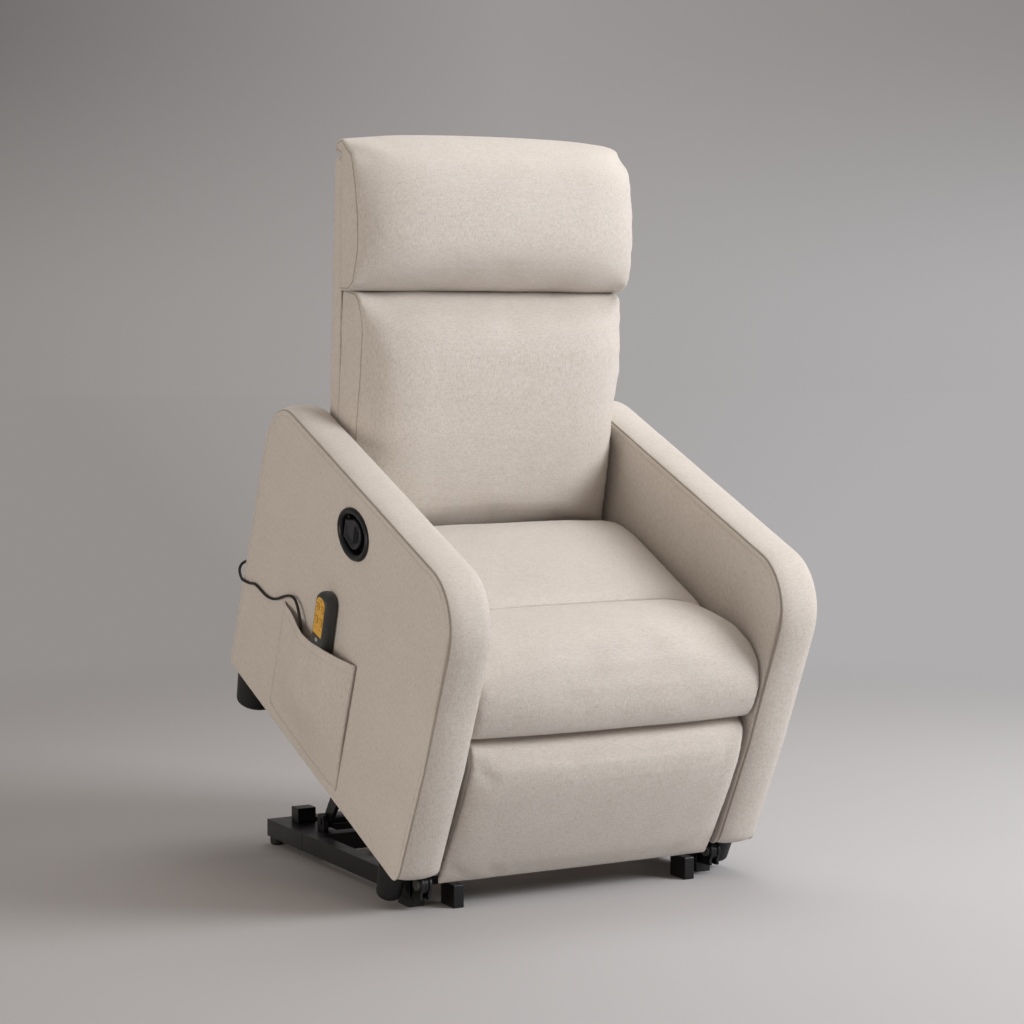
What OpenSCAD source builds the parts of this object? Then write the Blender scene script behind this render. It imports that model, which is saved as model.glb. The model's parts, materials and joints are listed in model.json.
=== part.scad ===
// Lift recliner chair: a tilting chair body on a floor frame, with a legrest, a reclining
// back, a side release lever and a corded handset kept in a side pocket.
// Millimetres. +Z up, the chair faces -Y, the origin is on the floor below the middle.

/* [Chair body] */
// Width over the two outer arm panels
chair_width = 680; // [640:1:760]
// Length of an arm, front to back
arm_length = 754; // [720:1:800]
// Height of an arm above its bottom edge
arm_height = 537; // [500:1:560]
// Thickness of an arm
arm_thickness = 75; // [66:1:95]
// How far the front of an arm leans out over its foot
arm_nose = 25; // [10:1:35]
// Radius of the front top corner of an arm
nose_radius = 95; // [60:1:110]
// Radius of the rear top corner of an arm
tail_radius = 89; // [50:1:110]
// How far the padded band stands proud between its seams
arm_crown = 8; // [3:1:12]
// Thickness of the outer side panel of an arm
panel_thickness = 14; // [10:1:18]
// Thickness of the plywood core of an arm
core_thickness = 22; // [16:1:24]
// Depth of padding round the plywood core
core_margin = 38; // [30:1:42]

/* [Seat] */
// Height of the seat rails' top above the chair's bottom edge
seat_rail_top = 250; // [246:1:254]
// Depth of the seat rails
seat_rail_depth = 45; // [38:1:50]
// Width of a seat side rail
seat_rail_width = 29; // [22:1:34]
// Thickness of the front and rear cross rails
cross_rail_thickness = 34; // [24:1:38]
// Thickness of the plywood under the front roll
roll_board_thickness = 9.7; // [8:0.1:9.9]
// Width of one seat strap
strap_width = 50; // [35:1:60]
// Thickness of a strap
strap_thickness = 2; // [1.5:0.1:2.4]
// Number of seat straps
seat_strap_count = 5; // [3:1:6]

/* [Legrest] */
// Gap between the legrest pad and an arm
legrest_gap = 8; // [4:0.5:16]
// Thickness of the legrest board
legrest_board_thickness = 12; // [9:1:14]
// Length of each scissor link between pivots
scissor_link_length = 175; // [172:1:176]
// Width of a scissor link
link_width = 24; // [18:1:28]
// Thickness of a scissor link
link_thickness = 5; // [4:0.1:5.2]
// Radius of the scissor pivots
pivot_radius = 5; // [3:0.5:6]

/* [Back] */
// Lean of the back in the seated position
back_rake = 18; // [16:1:20]
// Gap between the lower back cushion and an arm
back_gap = 2.5; // [1:0.5:12]
// How far the head cushion is wider than the back on each side
head_overhang = 9; // [2:0.5:12]
// Length of the back frame above its pivot
back_frame_length = 690; // [680:1:692]
// Width of a back upright
upright_width = 35; // [25:1:45]
// Thickness of the back frame
back_frame_thickness = 22; // [19:1:22]
// Thickness of the rear cover panel
back_panel_thickness = 7.7; // [4:0.1:8]
// Radius of a massage motor
motor_disc_radius = 26; // [18:1:32]

/* [Release lever] */
// Half the length of the lever surround
surround_half_length = 59.5; // [54:0.5:64]
// Half the height of the lever surround
surround_half_height = 42.5; // [38:0.5:46]
// Width of the surround's sloping rim
surround_rim = 12; // [9:0.5:14]
// Depth of the lever's finger cup
cup_depth = 27; // [22:1:30]
// Wall of the finger cup
cup_wall = 2.5; // [2:0.1:3]
// Thickness of the lever paddle
paddle_thickness = 7; // [5:0.5:8]

/* [Pocket and handset] */
// Thickness of the pocket cloth
pocket_cloth = 2; // [1:0.1:2.5]
// Width of the handset
handset_width = 49; // [46:1:54]
// Thickness of the handset
handset_thickness = 22; // [20:0.5:23]
// Length of the handset
handset_length = 170; // [150:1:175]
// Radius of a handset button
button_radius = 5.5; // [4:0.1:6]
// Radius of the handset cord
cord_radius = 2.5; // [2:0.1:2.6]

/* [Floor frame] */
// Height of the frame tubes
tube_height = 31; // [28:1:32]
// Width of a side tube
side_tube_width = 28; // [24:1:30]
// Width of a cross tube, front to back
cross_tube_width = 30; // [24:1:32]
// Height of the frame's glides
glide_height = 15; // [12:1:16]
// Thickness of the pivot ears
ear_thickness = 5; // [4:0.5:5]
// Radius of the lift hinge pins
hinge_pin_radius = 6; // [4:0.5:8]
// Width of a front foot of the chair
front_foot_radius = 25; // [20:1:26]
// Radius of a rear foot of the chair
rear_foot_radius = 40; // [30:1:42]

/* [Lift drive] */
// Tilt of the chair when it is fully lifted
lift_angle = 22; // [21:0.5:23]
// Length of a lift arm between its pivot and its roller
lift_arm_length = 308; // [304:1:312]
// Radius of a lift arm's roller
roller_radius = 15; // [12:1:16]
// Outer radius of the drive's tube
drive_tube_radius = 19; // [16:1:22]
// Radius of the drive's push rod
drive_rod_radius = 11; // [8:0.5:13]
// Radius of the drive's motor
drive_motor_radius = 26; // [20:1:30]

/* [Hidden] */

$fn = 48;
steel = [0.09, 0.09, 0.1];
cloth = [0.81, 0.77, 0.72];
timber = [0.72, 0.6, 0.42];
plastic = [0.13, 0.13, 0.14];
zinc = [0.6, 0.61, 0.62];
webbing = [0.3, 0.3, 0.28];

// Clearances
running = 0.05;
soft_gap = 0.3;
side_gap = 0.5;
end_play = 0.5;

// Where the lift hinge is, and where it is on the chair
centre_x = 13.5;
hinge_y = -222;
hinge_z = 42;
hinge_back = 28;
hinge_drop = 20;

inner_x = chair_width / 2 - arm_thickness;
outer_x = chair_width / 2;
legrest_width = 2 * (inner_x - legrest_gap);
back_width = 2 * (inner_x - back_gap);
head_width = back_width + 2 * head_overhang;
panel_x = outer_x - panel_thickness;
core_x = panel_x - core_thickness;
tube_top = glide_height + tube_height;
lowered_height = hinge_z + hinge_drop;

function turn(p, a) = [p[0] * cos(a) - p[1] * sin(a), p[0] * sin(a) + p[1] * cos(a)];
// A point [y, z] of the chair, as seen from the floor frame at a tilt of a degrees
function on_floor(p, a) = [0, hinge_z] + turn(p - [hinge_back, -hinge_drop], a);
function on_chair(p, a) = turn(p - [0, hinge_z], -a) + [hinge_back, -hinge_drop];
function direction(p) = atan2(p[1], p[0]);
function arc_points(centre, radius, from, to, steps) =
    [for (i = [0:steps]) let (a = from + (to - from) * i / steps)
        centre + radius * [cos(a), sin(a)]];
function smooth(p, steps) = [for (i = [0:len(p) - 2], k = [0:steps - 1])
    let (a = p[max(i - 1, 0)], b = p[i], c = p[i + 1], d = p[min(i + 2, len(p) - 1)], t = k / steps)
    0.5 * (2 * b + (c - a) * t + (2 * a - 5 * b + 4 * c - d) * t * t
        + (3 * b - a - 3 * c + d) * t * t * t), p[len(p) - 1]];

module floor_frame() translate([centre_x, hinge_y, 0]) children();

module chair_frame()
    translate([centre_x, hinge_y, hinge_z]) rotate([lift_angle, 0, 0])
        translate([0, -hinge_back, hinge_drop]) children();

module both_sides() {
    children();
    mirror([1, 0, 0]) children();
}

// A box from its lowest to its highest corner
module block(low, high) translate(low) cube(high - low);

// A rod along X from x0 to x1, centred on [y, z]
module cross_rod(x0, x1, at, radius)
    translate([x0, at[0], at[1]]) rotate([0, 90, 0]) cylinder(h = x1 - x0, r = radius);

// A plate across X from x0 to x1 with an outline of [y, z] points
module plate(x0, x1, outline)
    translate([x0, 0, 0]) rotate([90, 0, 90]) linear_extrude(x1 - x0) polygon(outline);

// A solid through cross-sections, each a list of as many 3-D points
module loft(sections) {
    n = len(sections[0]);
    last = len(sections) - 1;
    polyhedron(
        points = [for (s = sections, p = s) p],
        faces = concat(
            [[for (i = [0:n - 1]) i]],
            [for (s = [0:last - 1], i = [0:n - 1]) let (j = (i + 1) % n, a = s * n, b = a + n)
                [a + i, b + i, b + j, a + j]],
            [[for (i = [n - 1:-1:0]) last * n + i]]));
}

// A cushion across X: its side outline swells to its middle outline between the two ends
module cushion(half_width, side, middle, stations = 10, fullness = 4)
    loft([for (k = [0:stations]) let (
            a = 180 * k / stations,
            x = -half_width * cos(a),
            swell = 1 - pow(abs(cos(a)), fullness))
        [for (i = [0:len(side) - 1]) let (p = side[i] + (middle[i] - side[i]) * swell)
            [x, p[0], p[1]]]]);

// A round tube swept along points, with its ring turned as little as possible
function unit(v) = v / norm(v);
function tangents(p) = [for (i = [0:len(p) - 1])
    unit(p[min(i + 1, len(p) - 1)] - p[max(i - 1, 0)])];
function carried(t, i, n) = i == len(t) ? [] :
    let (m = unit(n - t[i] * (n * t[i]))) concat([m], carried(t, i + 1, m));
module swept_tube(path, radius, sides, start_normal) {
    t = tangents(path);
    m = carried(t, 0, start_normal);
    loft([for (i = [0:len(path) - 1]) let (side = cross(t[i], m[i]))
        [for (k = [0:sides - 1]) let (a = -360 * k / sides)
            path[i] + radius * (cos(a) * m[i] + sin(a) * side)]]);
}

// ---------------------------------------------------------------- floor frame
side_tube_x = inner_x - 3;
side_tube_out = side_tube_x + side_tube_width;
end_tube_x = side_tube_out - 68;
front_end = 22;
joint_y = 456;
frame_end = 616;
front_tube_y = 27;
middle_tube_y = joint_y - cross_tube_width;
rear_tube_y = frame_end - cross_tube_width;
ear_radius = 18;
lug_x = side_tube_x + 11;
lug_thickness = 8;
ear_gap = 0.6;

module floor_side_tubes() color(steel) floor_frame() both_sides() difference() {
    block([side_tube_x, front_end, glide_height], [side_tube_out, joint_y, tube_top]);
    block([side_tube_x + 2, front_end - 1, glide_height + 2],
        [side_tube_out - 2, joint_y + 1, tube_top - 2]);
}

module floor_end_tubes() color(steel) floor_frame() both_sides()
    block([end_tube_x, joint_y + 0.5, glide_height], [side_tube_out, frame_end, tube_top]);

module cross_tube(half, y, height)
    block([-half, y, tube_top - height], [half, y + cross_tube_width, tube_top]);

front_tube_height = 14;
module floor_cross_tubes() color(steel) floor_frame() {
    cross_tube(side_tube_x, front_tube_y, front_tube_height);
    cross_tube(side_tube_x, middle_tube_y, tube_height);
    cross_tube(end_tube_x, rear_tube_y, tube_height);
}

leg_x = inner_x - 53;
leg_thickness = 18;
leg_depth = 48;
leg_top = 38;
module floor_front_legs() color(steel) floor_frame() both_sides()
    block([leg_x, front_tube_y - leg_depth, 0], [leg_x + leg_thickness, front_tube_y, leg_top]);

glide_radius = 13;
module floor_glides() color(plastic) floor_frame() both_sides() {
    block([side_tube_x, front_end, 0], [side_tube_out, front_end + 42, glide_height]);
    translate([side_tube_x + side_tube_width / 2, frame_end - glide_radius - 2, 0]) {
        translate([0, 0, 4]) cylinder(h = glide_height - 4, r = glide_radius);
        cylinder(h = 4, r1 = glide_radius - 3, r2 = glide_radius);
    }
}

stop_width = 36;
stop_depth = 30;
stop_y = 545;
stop_top = 73;
module stop_blocks() color(steel) floor_frame() both_sides()
    block([end_tube_x + 1, stop_y, tube_top],
        [end_tube_x + 1 + stop_width, stop_y + stop_depth, stop_top]);

// The two ears of each lift hinge stand in front of the side tube's end
module hinge_ears() both_sides()
    for (x = [lug_x - ear_gap - ear_thickness, lug_x + lug_thickness + ear_gap])
        difference() {
            union() {
                cross_rod(x, x + ear_thickness, [0, hinge_z], ear_radius);
                block([x, 0, glide_height + 2], [x + ear_thickness, front_end, hinge_z]);
                block([x, -12, glide_height + 2], [x + ear_thickness, 0, hinge_z]);
            }
            cross_rod(x - 1, x + ear_thickness + 1, [0, hinge_z], hinge_pin_radius + running);
        }

pin_head = 3;
module hinge_pins() both_sides() {
    x0 = lug_x - ear_gap - ear_thickness;
    x1 = lug_x + lug_thickness + ear_gap + ear_thickness;
    cross_rod(x0 - pin_head, x1 + pin_head, [0, hinge_z], hinge_pin_radius);
    for (x = [x0 - pin_head, x1]) cross_rod(x, x + pin_head, [0, hinge_z], hinge_pin_radius + 4);
}

// ---------------------------------------------------------------- lift arms and cams
arm_pivot = [470, 62];
lift_arm_x = inner_x - 37;
lift_arm_thickness = 8;
arm_pin_radius = 6;
cam_height = 85;

// Direction of the lift arm that puts its roller at the cam's end on the chair tilted by a
function arm_direction(a) =
    180 + a - asin((cam_height - on_chair(arm_pivot, a)[1]) / lift_arm_length);
lifted_swing = arm_direction(lift_angle);
lowered_swing = arm_direction(0);
function roller_on_chair(part) = let (
        swing = lowered_swing + (lifted_swing - lowered_swing) * part)
    on_chair(arm_pivot + lift_arm_length * [cos(swing), sin(swing)], lift_angle * part);
roller_lifted = roller_on_chair(1);
roller_halfway = roller_on_chair(0.5);
roller_lowered = roller_on_chair(0);

// Circle through the roller's three places on the chair
cam_middle_y = (roller_lifted[0] + roller_lowered[0]) / 2;
cam_half = (roller_lifted[0] - roller_lowered[0]) / 2;
cam_rise = roller_halfway[1] - cam_height;
cam_offset = roller_halfway[0] - cam_middle_y;
cam_drop = (cam_half * cam_half - cam_offset * cam_offset - cam_rise * cam_rise) / (2 * cam_rise);
cam_radius = sqrt(cam_half * cam_half + cam_drop * cam_drop);

module lift_arm_ears() both_sides() difference() {
    union() {
        block([roller_x, arm_pivot[0] - 14, tube_top], [roller_x + 10, arm_pivot[0] + 14, arm_pivot[1]]);
        cross_rod(roller_x, roller_x + 10, arm_pivot, 14);
    }
    cross_rod(roller_x - 1, roller_x + 11, arm_pivot, arm_pin_radius + running);
}

// Each lift arm bows upwards between its pivot and its roller
arm_bow = 26;
arm_depth = 26;
arm_tip = arm_pivot + lift_arm_length * [cos(lifted_swing), sin(lifted_swing)];
arm_along = unit(arm_tip - arm_pivot);
arm_above = [arm_along[1], -arm_along[0]];
arm_out = lift_arm_x + lift_arm_thickness;
function bowed(t, off) = arm_pivot + arm_along * lift_arm_length * t
    + arm_above * (arm_bow * 4 * t * (1 - t) + off);

module lift_arms() color(steel) floor_frame() both_sides() {
    plate(lift_arm_x, arm_out, concat(
        [for (k = [0:12]) bowed(k / 12, arm_depth / 2)],
        [for (k = [12:-1:0]) bowed(k / 12, -arm_depth / 2)]));
    cross_rod(lift_arm_x, arm_out, arm_pivot, arm_depth / 2);
    cross_rod(lift_arm_x, arm_out, arm_tip, arm_depth / 2);
    cross_rod(arm_out, arm_out + 14, arm_pivot, arm_pin_radius);
    cross_rod(arm_out, arm_out + 23, arm_tip, arm_pin_radius);
}

module lift_arm_shaft() color(steel) floor_frame()
    cross_rod(-lift_arm_x, lift_arm_x, arm_pivot, arm_pin_radius + 2);

roller_x = lift_arm_x + lift_arm_thickness + 2;
roller_width = 20;
module lift_rollers() color(plastic) floor_frame() both_sides() difference() {
    cross_rod(roller_x, roller_x + roller_width, arm_tip, roller_radius);
    cross_rod(roller_x - 1, roller_x + roller_width + 1, arm_tip, arm_pin_radius + running);
}

// The cam plates hang below the seat's side rails, and the rollers run in their arches with
// play, as the arms follow the tilt at one fixed ratio
cam_length = 90;
cam_play = 1.3;
cam_plate_x = roller_x + 4;
cam_plate_thickness = 12;
module lift_cam_plates() color(steel) chair_frame() both_sides() difference() {
    block([cam_plate_x, cam_middle_y - cam_length, cam_height + 10],
        [cam_plate_x + cam_plate_thickness, cam_middle_y + cam_length,
            seat_rail_top - seat_rail_depth]);
    cross_rod(cam_plate_x - 1, cam_plate_x + cam_plate_thickness + 1,
        [cam_middle_y, cam_height - cam_drop], cam_radius + roller_radius + cam_play);
}

// ---------------------------------------------------------------- lift drive
drive_foot = [middle_tube_y + cross_tube_width / 2, 80];
drive_head = [60, 160];
drive_lifted = on_floor(drive_head, lift_angle);
drive_slope = direction(drive_lifted - drive_foot);
drive_length = norm(drive_lifted - drive_foot);
drive_pin_radius = 5;
drive_eye_radius = 12;
drive_eye_half = 8;
bracket_gap = 1;
bracket_ear = 6;

// Along the drive: X across the chair, Y from its foot to its head
module drive_frame() floor_frame() translate([0, drive_foot[0], drive_foot[1]])
    rotate([drive_slope, 0, 0]) children();

module drive_ears()
    for (x = [-drive_eye_half - bracket_gap - bracket_ear, drive_eye_half + bracket_gap])
        difference() {
            union() {
                block([x, middle_tube_y, tube_top],
                    [x + bracket_ear, middle_tube_y + cross_tube_width, drive_foot[1]]);
                cross_rod(x, x + bracket_ear, drive_foot, drive_eye_radius + 2);
            }
            cross_rod(x - 1, x + bracket_ear + 1, drive_foot, drive_pin_radius + running);
        }

module drive_pin(at) {
    half = drive_eye_half + bracket_gap + bracket_ear;
    cross_rod(-half - pin_head, half + pin_head, at, drive_pin_radius);
    for (x = [-half - pin_head, half]) cross_rod(x, x + pin_head, at, drive_pin_radius + 3);
}

module floor_brackets() color(steel) floor_frame() {
    hinge_ears();
    lift_arm_ears();
    drive_ears();
}

module floor_pins() color(zinc) floor_frame() {
    hinge_pins();
    drive_pin(drive_foot);
}

gearbox_start = 16;
gearbox_end = 92;
gearbox_half = 30;
module drive_gearbox() color(plastic) drive_frame() difference() {
    union() {
        block([-drive_eye_half, 0, -drive_eye_radius],
            [drive_eye_half, gearbox_start + 1, drive_eye_radius]);
        cross_rod(-drive_eye_half, drive_eye_half, [0, 0], drive_eye_radius);
        block([-gearbox_half, gearbox_start, -gearbox_half + 4],
            [gearbox_half, gearbox_end, gearbox_half - 4]);
    }
    cross_rod(-drive_eye_half - 1, drive_eye_half + 1, [0, 0], drive_pin_radius + running);
}

motor_length = 96;
motor_x = gearbox_half + drive_motor_radius + soft_gap;
module drive_motor() color(plastic) drive_frame() {
    translate([motor_x, gearbox_end - 40, 0]) rotate([-90, 0, 0]) {
        cylinder(h = motor_length, r = drive_motor_radius);
        translate([0, 0, motor_length]) cylinder(h = 8, r = drive_motor_radius - 8);
    }
    block([gearbox_half, gearbox_start + 10, -18], [motor_x, gearbox_end - 10, 18]);
}

tube_end = 400;
rod_inside = 200;
module drive_tube() color(steel) drive_frame() translate([0, gearbox_end, 0])
    rotate([-90, 0, 0]) difference() {
        cylinder(h = tube_end - gearbox_end, r = drive_tube_radius);
        translate([0, 0, 30]) cylinder(h = tube_end, r = drive_rod_radius + 0.5);
    }

// The rod's eye has play on its pin, as its swing follows the tilt at one fixed ratio
rod_play = 2.8;
rod_neck = 32;
module drive_rod() color(zinc) drive_frame() difference() {
    union() {
        translate([0, rod_inside, 0]) rotate([-90, 0, 0])
            cylinder(h = drive_length - rod_inside - rod_neck, r = drive_rod_radius);
        block([-drive_eye_half, drive_length - rod_neck - 1, -7], [drive_eye_half, drive_length, 7]);
        cross_rod(-drive_eye_half, drive_eye_half, [drive_length, 0], drive_eye_radius);
    }
    cross_rod(-drive_eye_half - 4, drive_eye_half + 4, [drive_length, 0],
        drive_pin_radius + rod_play);
}

front_rail_y = 45;
module drive_clevis() color(steel) chair_frame()
    for (x = [-drive_eye_half - bracket_gap - bracket_ear, drive_eye_half + bracket_gap])
        difference() {
            union() {
                block([x, drive_head[0] - drive_eye_radius - 2, drive_head[1]],
                    [x + bracket_ear, drive_head[0] + drive_eye_radius + 2,
                        seat_rail_top - seat_rail_depth]);
                cross_rod(x, x + bracket_ear, drive_head, drive_eye_radius + 2);
            }
            cross_rod(x - 1, x + bracket_ear + 1, drive_head, drive_pin_radius + running);
        }

module drive_rod_pin() color(zinc) chair_frame() drive_pin(drive_head);

// ---------------------------------------------------------------- chair base
rail_plate = 6;
rail_edge = inner_x - 3;
rail_width = 26;
rail_front = 50;
rail_rear = 640;
hinge_on_chair = [hinge_back, -hinge_drop];
bolt_radius = 4;
bolt_depth = 30;
bolt_x = inner_x + 14;
bolt_places = [120, 330, 560];

module lift_bolts(extra = 0) for (y = bolt_places) {
    translate([bolt_x, y, -rail_plate - extra]) cylinder(h = rail_plate + bolt_depth + extra * 2,
        r = bolt_radius + extra);
}

module lift_rails() color(steel) chair_frame() both_sides() {
    difference() {
        union() {
            block([rail_edge, rail_front, -rail_plate], [rail_edge + rail_width, rail_rear, 0]);
            cross_rod(lug_x, lug_x + lug_thickness, hinge_on_chair, ear_radius - 2);
            block([lug_x, hinge_back, tube_top + 1 - lowered_height],
                [lug_x + lug_thickness, rail_front + 12, 0]);
        }
        cross_rod(lug_x - 1, lug_x + lug_thickness + 1, hinge_on_chair,
            hinge_pin_radius + running);
    }
    lift_bolts();
    for (y = bolt_places) translate([bolt_x, y, -rail_plate - 3.5]) cylinder(h = 3.5, r = 7);
}

brace_front = stop_y + hinge_back + 1;
brace_height = 25;
brace_bottom = stop_top - lowered_height + soft_gap;
module lift_cross_tube() color(steel) chair_frame() {
    block([-rail_edge, brace_front, brace_bottom],
        [rail_edge, brace_front + 28, brace_bottom + brace_height]);
    both_sides() block([rail_edge, brace_front, 0],
        [inner_x, brace_front + 28, brace_bottom + brace_height]);
}

// ---------------------------------------------------------------- arms
nose_centre = [nose_radius - arm_nose, arm_height - 10 - nose_radius];
tail_centre = [arm_length - 10 - tail_radius, arm_height - tail_radius];
// Outline of an arm, moved inwards by m with its bottom edge moved up by b
function arm_outline(m, b) = concat(
    [[m, b], [arm_length - m, b]],
    arc_points(tail_centre, tail_radius - m, 0, 90, 9),
    arc_points(nose_centre, nose_radius - m, 91, 180, 10),
    [[m - 0.72 * arm_nose, 0.41 * arm_height]]);

lever_centre = [347, arm_height - 80];
lever_tilt = -6;
cut_half_length = surround_half_length - surround_rim + cup_wall + 1;
cut_half_height = surround_half_height - surround_rim + cup_wall + 1;

function ellipse(a, b, n) = [for (k = [0:n - 1]) [a * cos(360 * k / n), b * sin(360 * k / n)]];

// Across X at the lever, on the left arm: Y and Z follow the lever's own tilt
module lever_frame() translate([0, lever_centre[0], lever_centre[1]])
    rotate([lever_tilt, 0, 0]) children();

module lever_cut() lever_frame()
    plate(-outer_x - 1, -core_x + 1, ellipse(cut_half_length, cut_half_height, 48));

module arm_panel() plate(panel_x, outer_x, arm_outline(0, 0));
module arm_core() plate(core_x, panel_x, arm_outline(core_margin, core_margin));

crown_stations = [
    [0, 0], [0.12, 0.6], [0.3, 0.95], [0.5, 1], [0.7, 0.95], [0.88, 0.6], [1, 0]
];
module arm_pad() difference() {
    loft([for (s = crown_stations) [for (p = arm_outline(-arm_crown * s[1], 0))
        [inner_x + (panel_x - inner_x) * s[0], p[0], p[1]]]]);
    plate(core_x - soft_gap, panel_x + 1,
        arm_outline(core_margin - soft_gap, core_margin - soft_gap));
    lift_bolts(running);
}

module right_arm_panel() color(cloth) chair_frame() arm_panel();
module right_arm_core() color(timber) chair_frame() arm_core();
module right_arm_pad() color(cloth) chair_frame() arm_pad();

module left_arm_panel() color(cloth) chair_frame() difference() {
    mirror([1, 0, 0]) arm_panel();
    lever_cut();
}

// The cable to the legrest lies in a slot of the left core
cable_front = 342;
cable_rear = 425;
cable_low = 190;
cable_slot = 6;
module left_arm_core() color(timber) chair_frame() difference() {
    mirror([1, 0, 0]) arm_core();
    lever_cut();
    block([-panel_x - 1, cable_front - cable_slot, cable_low - cable_slot],
        [-core_x + 1, cable_front + cable_slot, lever_centre[1] - 20]);
    block([-panel_x - 1, cable_front - cable_slot, cable_low - cable_slot],
        [-core_x + 1, cable_rear + cable_slot, cable_low + 4 * cable_slot]);
}

cable_radius = 2;
module left_arm_pad() color(cloth) chair_frame() difference() {
    mirror([1, 0, 0]) arm_pad();
    lever_cut();
    cross_rod(-core_x - 1, -inner_x + 1, [cable_rear, cable_low], cable_radius + 1);
}

// ---------------------------------------------------------------- seat
rail_in = inner_x - seat_rail_width;
cushion_half = inner_x - soft_gap;
seat_rail_bottom = seat_rail_top - seat_rail_depth;
seat_rail_rear = 600;
second_rail_y = 166;
rear_rail_y = 470;

module seat_side_rails() color(timber) chair_frame() both_sides()
    block([rail_in, front_rail_y, seat_rail_bottom], [inner_x, seat_rail_rear, seat_rail_top]);

module seat_cross_rails() color(timber) chair_frame()
    for (y = [front_rail_y, second_rail_y, rear_rail_y])
        block([-rail_in, y, seat_rail_bottom],
            [rail_in, y + cross_rail_thickness, seat_rail_top]);

strap_pitch = 2 * rail_in / (seat_strap_count + 0.6);
module seat_straps() color(webbing) chair_frame()
    for (k = [0:seat_strap_count - 1])
        translate([(k - (seat_strap_count - 1) / 2) * strap_pitch, 0, 0])
            block([-strap_width / 2, second_rail_y + cross_rail_thickness / 2, seat_rail_top],
                [strap_width / 2, rear_rail_y + cross_rail_thickness,
                    seat_rail_top + strap_thickness]);

roll_rear = 202;
roll_board_front = 37;
roll_bottom = seat_rail_top + roll_board_thickness + soft_gap;
module roll_board() color(timber) chair_frame()
    block([-inner_x, roll_board_front, seat_rail_top],
        [inner_x, second_rail_y + cross_rail_thickness / 2 - 1,
            seat_rail_top + roll_board_thickness]);

seat_rear = 528;
cushion_bottom = seat_rail_top + strap_thickness + soft_gap;
seat_side = [
    [seat_rear - 4, cushion_bottom], [seat_rear, 366], [seat_rear - 20, 377], [484, 384],
    [416, 391], [342, 388], [269, 384], [215, 382], [roll_rear + 1, 372], [roll_rear + 1, cushion_bottom]
];
seat_middle = [
    [seat_rear - 4, cushion_bottom], [seat_rear, 370], [seat_rear - 20, 386], [484, 399],
    [416, 408], [342, 407], [269, 402], [215, 398], [roll_rear + 1, 384], [roll_rear + 1, cushion_bottom]
];
module seat_cushion() color(cloth) chair_frame()
    cushion(cushion_half, seat_side, seat_middle);

roll_side = [
    [roll_rear, roll_bottom], [roll_rear, 372], [190, 381], [135, 388], [71, 393], [29, 385],
    [-3, 368], [-19, 342], [-22, 318], [-20, 294], [-13, 270], [-2, roll_bottom]
];
roll_middle = [
    [roll_rear, roll_bottom], [roll_rear, 384], [190, 397], [135, 404], [71, 407], [29, 399],
    [-6, 380], [-26, 350], [-31, 320], [-28, 294], [-19, 268], [-4, roll_bottom]
];
module front_roll() color(cloth) chair_frame()
    cushion(cushion_half, roll_side, roll_middle);

apron_y = arm_length - 30;
apron_depth = 12;
apron_top = 320;
apron_bottom = 34;
module rear_apron() color(cloth) chair_frame()
    block([-inner_x, apron_y, apron_bottom], [inner_x, apron_y + apron_depth, apron_top]);

box_half = 90;
box_depth = 80;
module control_box() color(plastic) chair_frame() difference() {
    block([-box_half, rear_rail_y + 4, seat_rail_bottom - 52],
        [box_half, rear_rail_y + 4 + box_depth, seat_rail_bottom]);
    // Inlet for the supply lead
    block([40, rear_rail_y - 8 + box_depth, seat_rail_bottom - 34],
        [62, rear_rail_y + 5 + box_depth, seat_rail_bottom - 20]);
}

foot_gap = 1;
module foot(radius) rotate_extrude() polygon(concat(
    [[0, -lowered_height + foot_gap]],
    arc_points([radius - 14, -lowered_height + foot_gap + 10], 10, -90, 0, 6),
    [[radius, 0], [0, 0]]));

front_foot_at = [outer_x - front_foot_radius + 1, 62];
rear_foot_at = [outer_x - rear_foot_radius - 1, 705];
module front_feet() color(plastic) chair_frame() both_sides()
    translate([front_foot_at[0], front_foot_at[1], 0]) foot(front_foot_radius);
module rear_feet() color(plastic) chair_frame() both_sides()
    translate([rear_foot_at[0], rear_foot_at[1], 0]) foot(rear_foot_radius);

// ---------------------------------------------------------------- back
back_pivot = [590, 300];
back_pin_radius = 5;
upright_x = inner_x - 15;
frame_back = -back_panel_thickness - soft_gap;
frame_front = frame_back - back_frame_thickness;
pad_rear = frame_front - soft_gap;

// Y is square to the back, to its rear, and Z is up along it from the pivot
module back_frame() chair_frame() translate([0, back_pivot[0], back_pivot[1]])
    rotate([-back_rake, 0, 0]) children();

bracket_in = upright_x + 1;
bracket_thickness = 6;

module back_brackets() color(steel) chair_frame() both_sides() {
    block([bracket_in, back_pivot[0] - 20, seat_rail_top],
        [bracket_in + bracket_thickness, seat_rail_rear, back_pivot[1]]);
    cross_rod(bracket_in, bracket_in + bracket_thickness, back_pivot, 20);
    cross_rod(bracket_in - 12, bracket_in, back_pivot, back_pin_radius);
}

module back_uprights() color(timber) back_frame() both_sides() difference() {
    union() {
        block([upright_x - upright_width, frame_front, 0],
            [upright_x, frame_back, back_frame_length]);
        cross_rod(upright_x - upright_width, upright_x, [0, 0], 18);
        block([upright_x - upright_width, frame_front, 0], [upright_x, 14, 26]);
    }
    cross_rod(upright_x - 14, upright_x + 1, [0, 0], back_pin_radius + running);
}

back_rail_height = 40;
back_rail_places = [30, back_frame_length * 0.29, back_frame_length * 0.62,
    back_frame_length - back_rail_height];
module back_cross_rails() color(timber) back_frame()
    for (z = back_rail_places)
        block([-upright_x + upright_width, frame_front, z],
            [upright_x - upright_width, frame_back, z + back_rail_height]);

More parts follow.
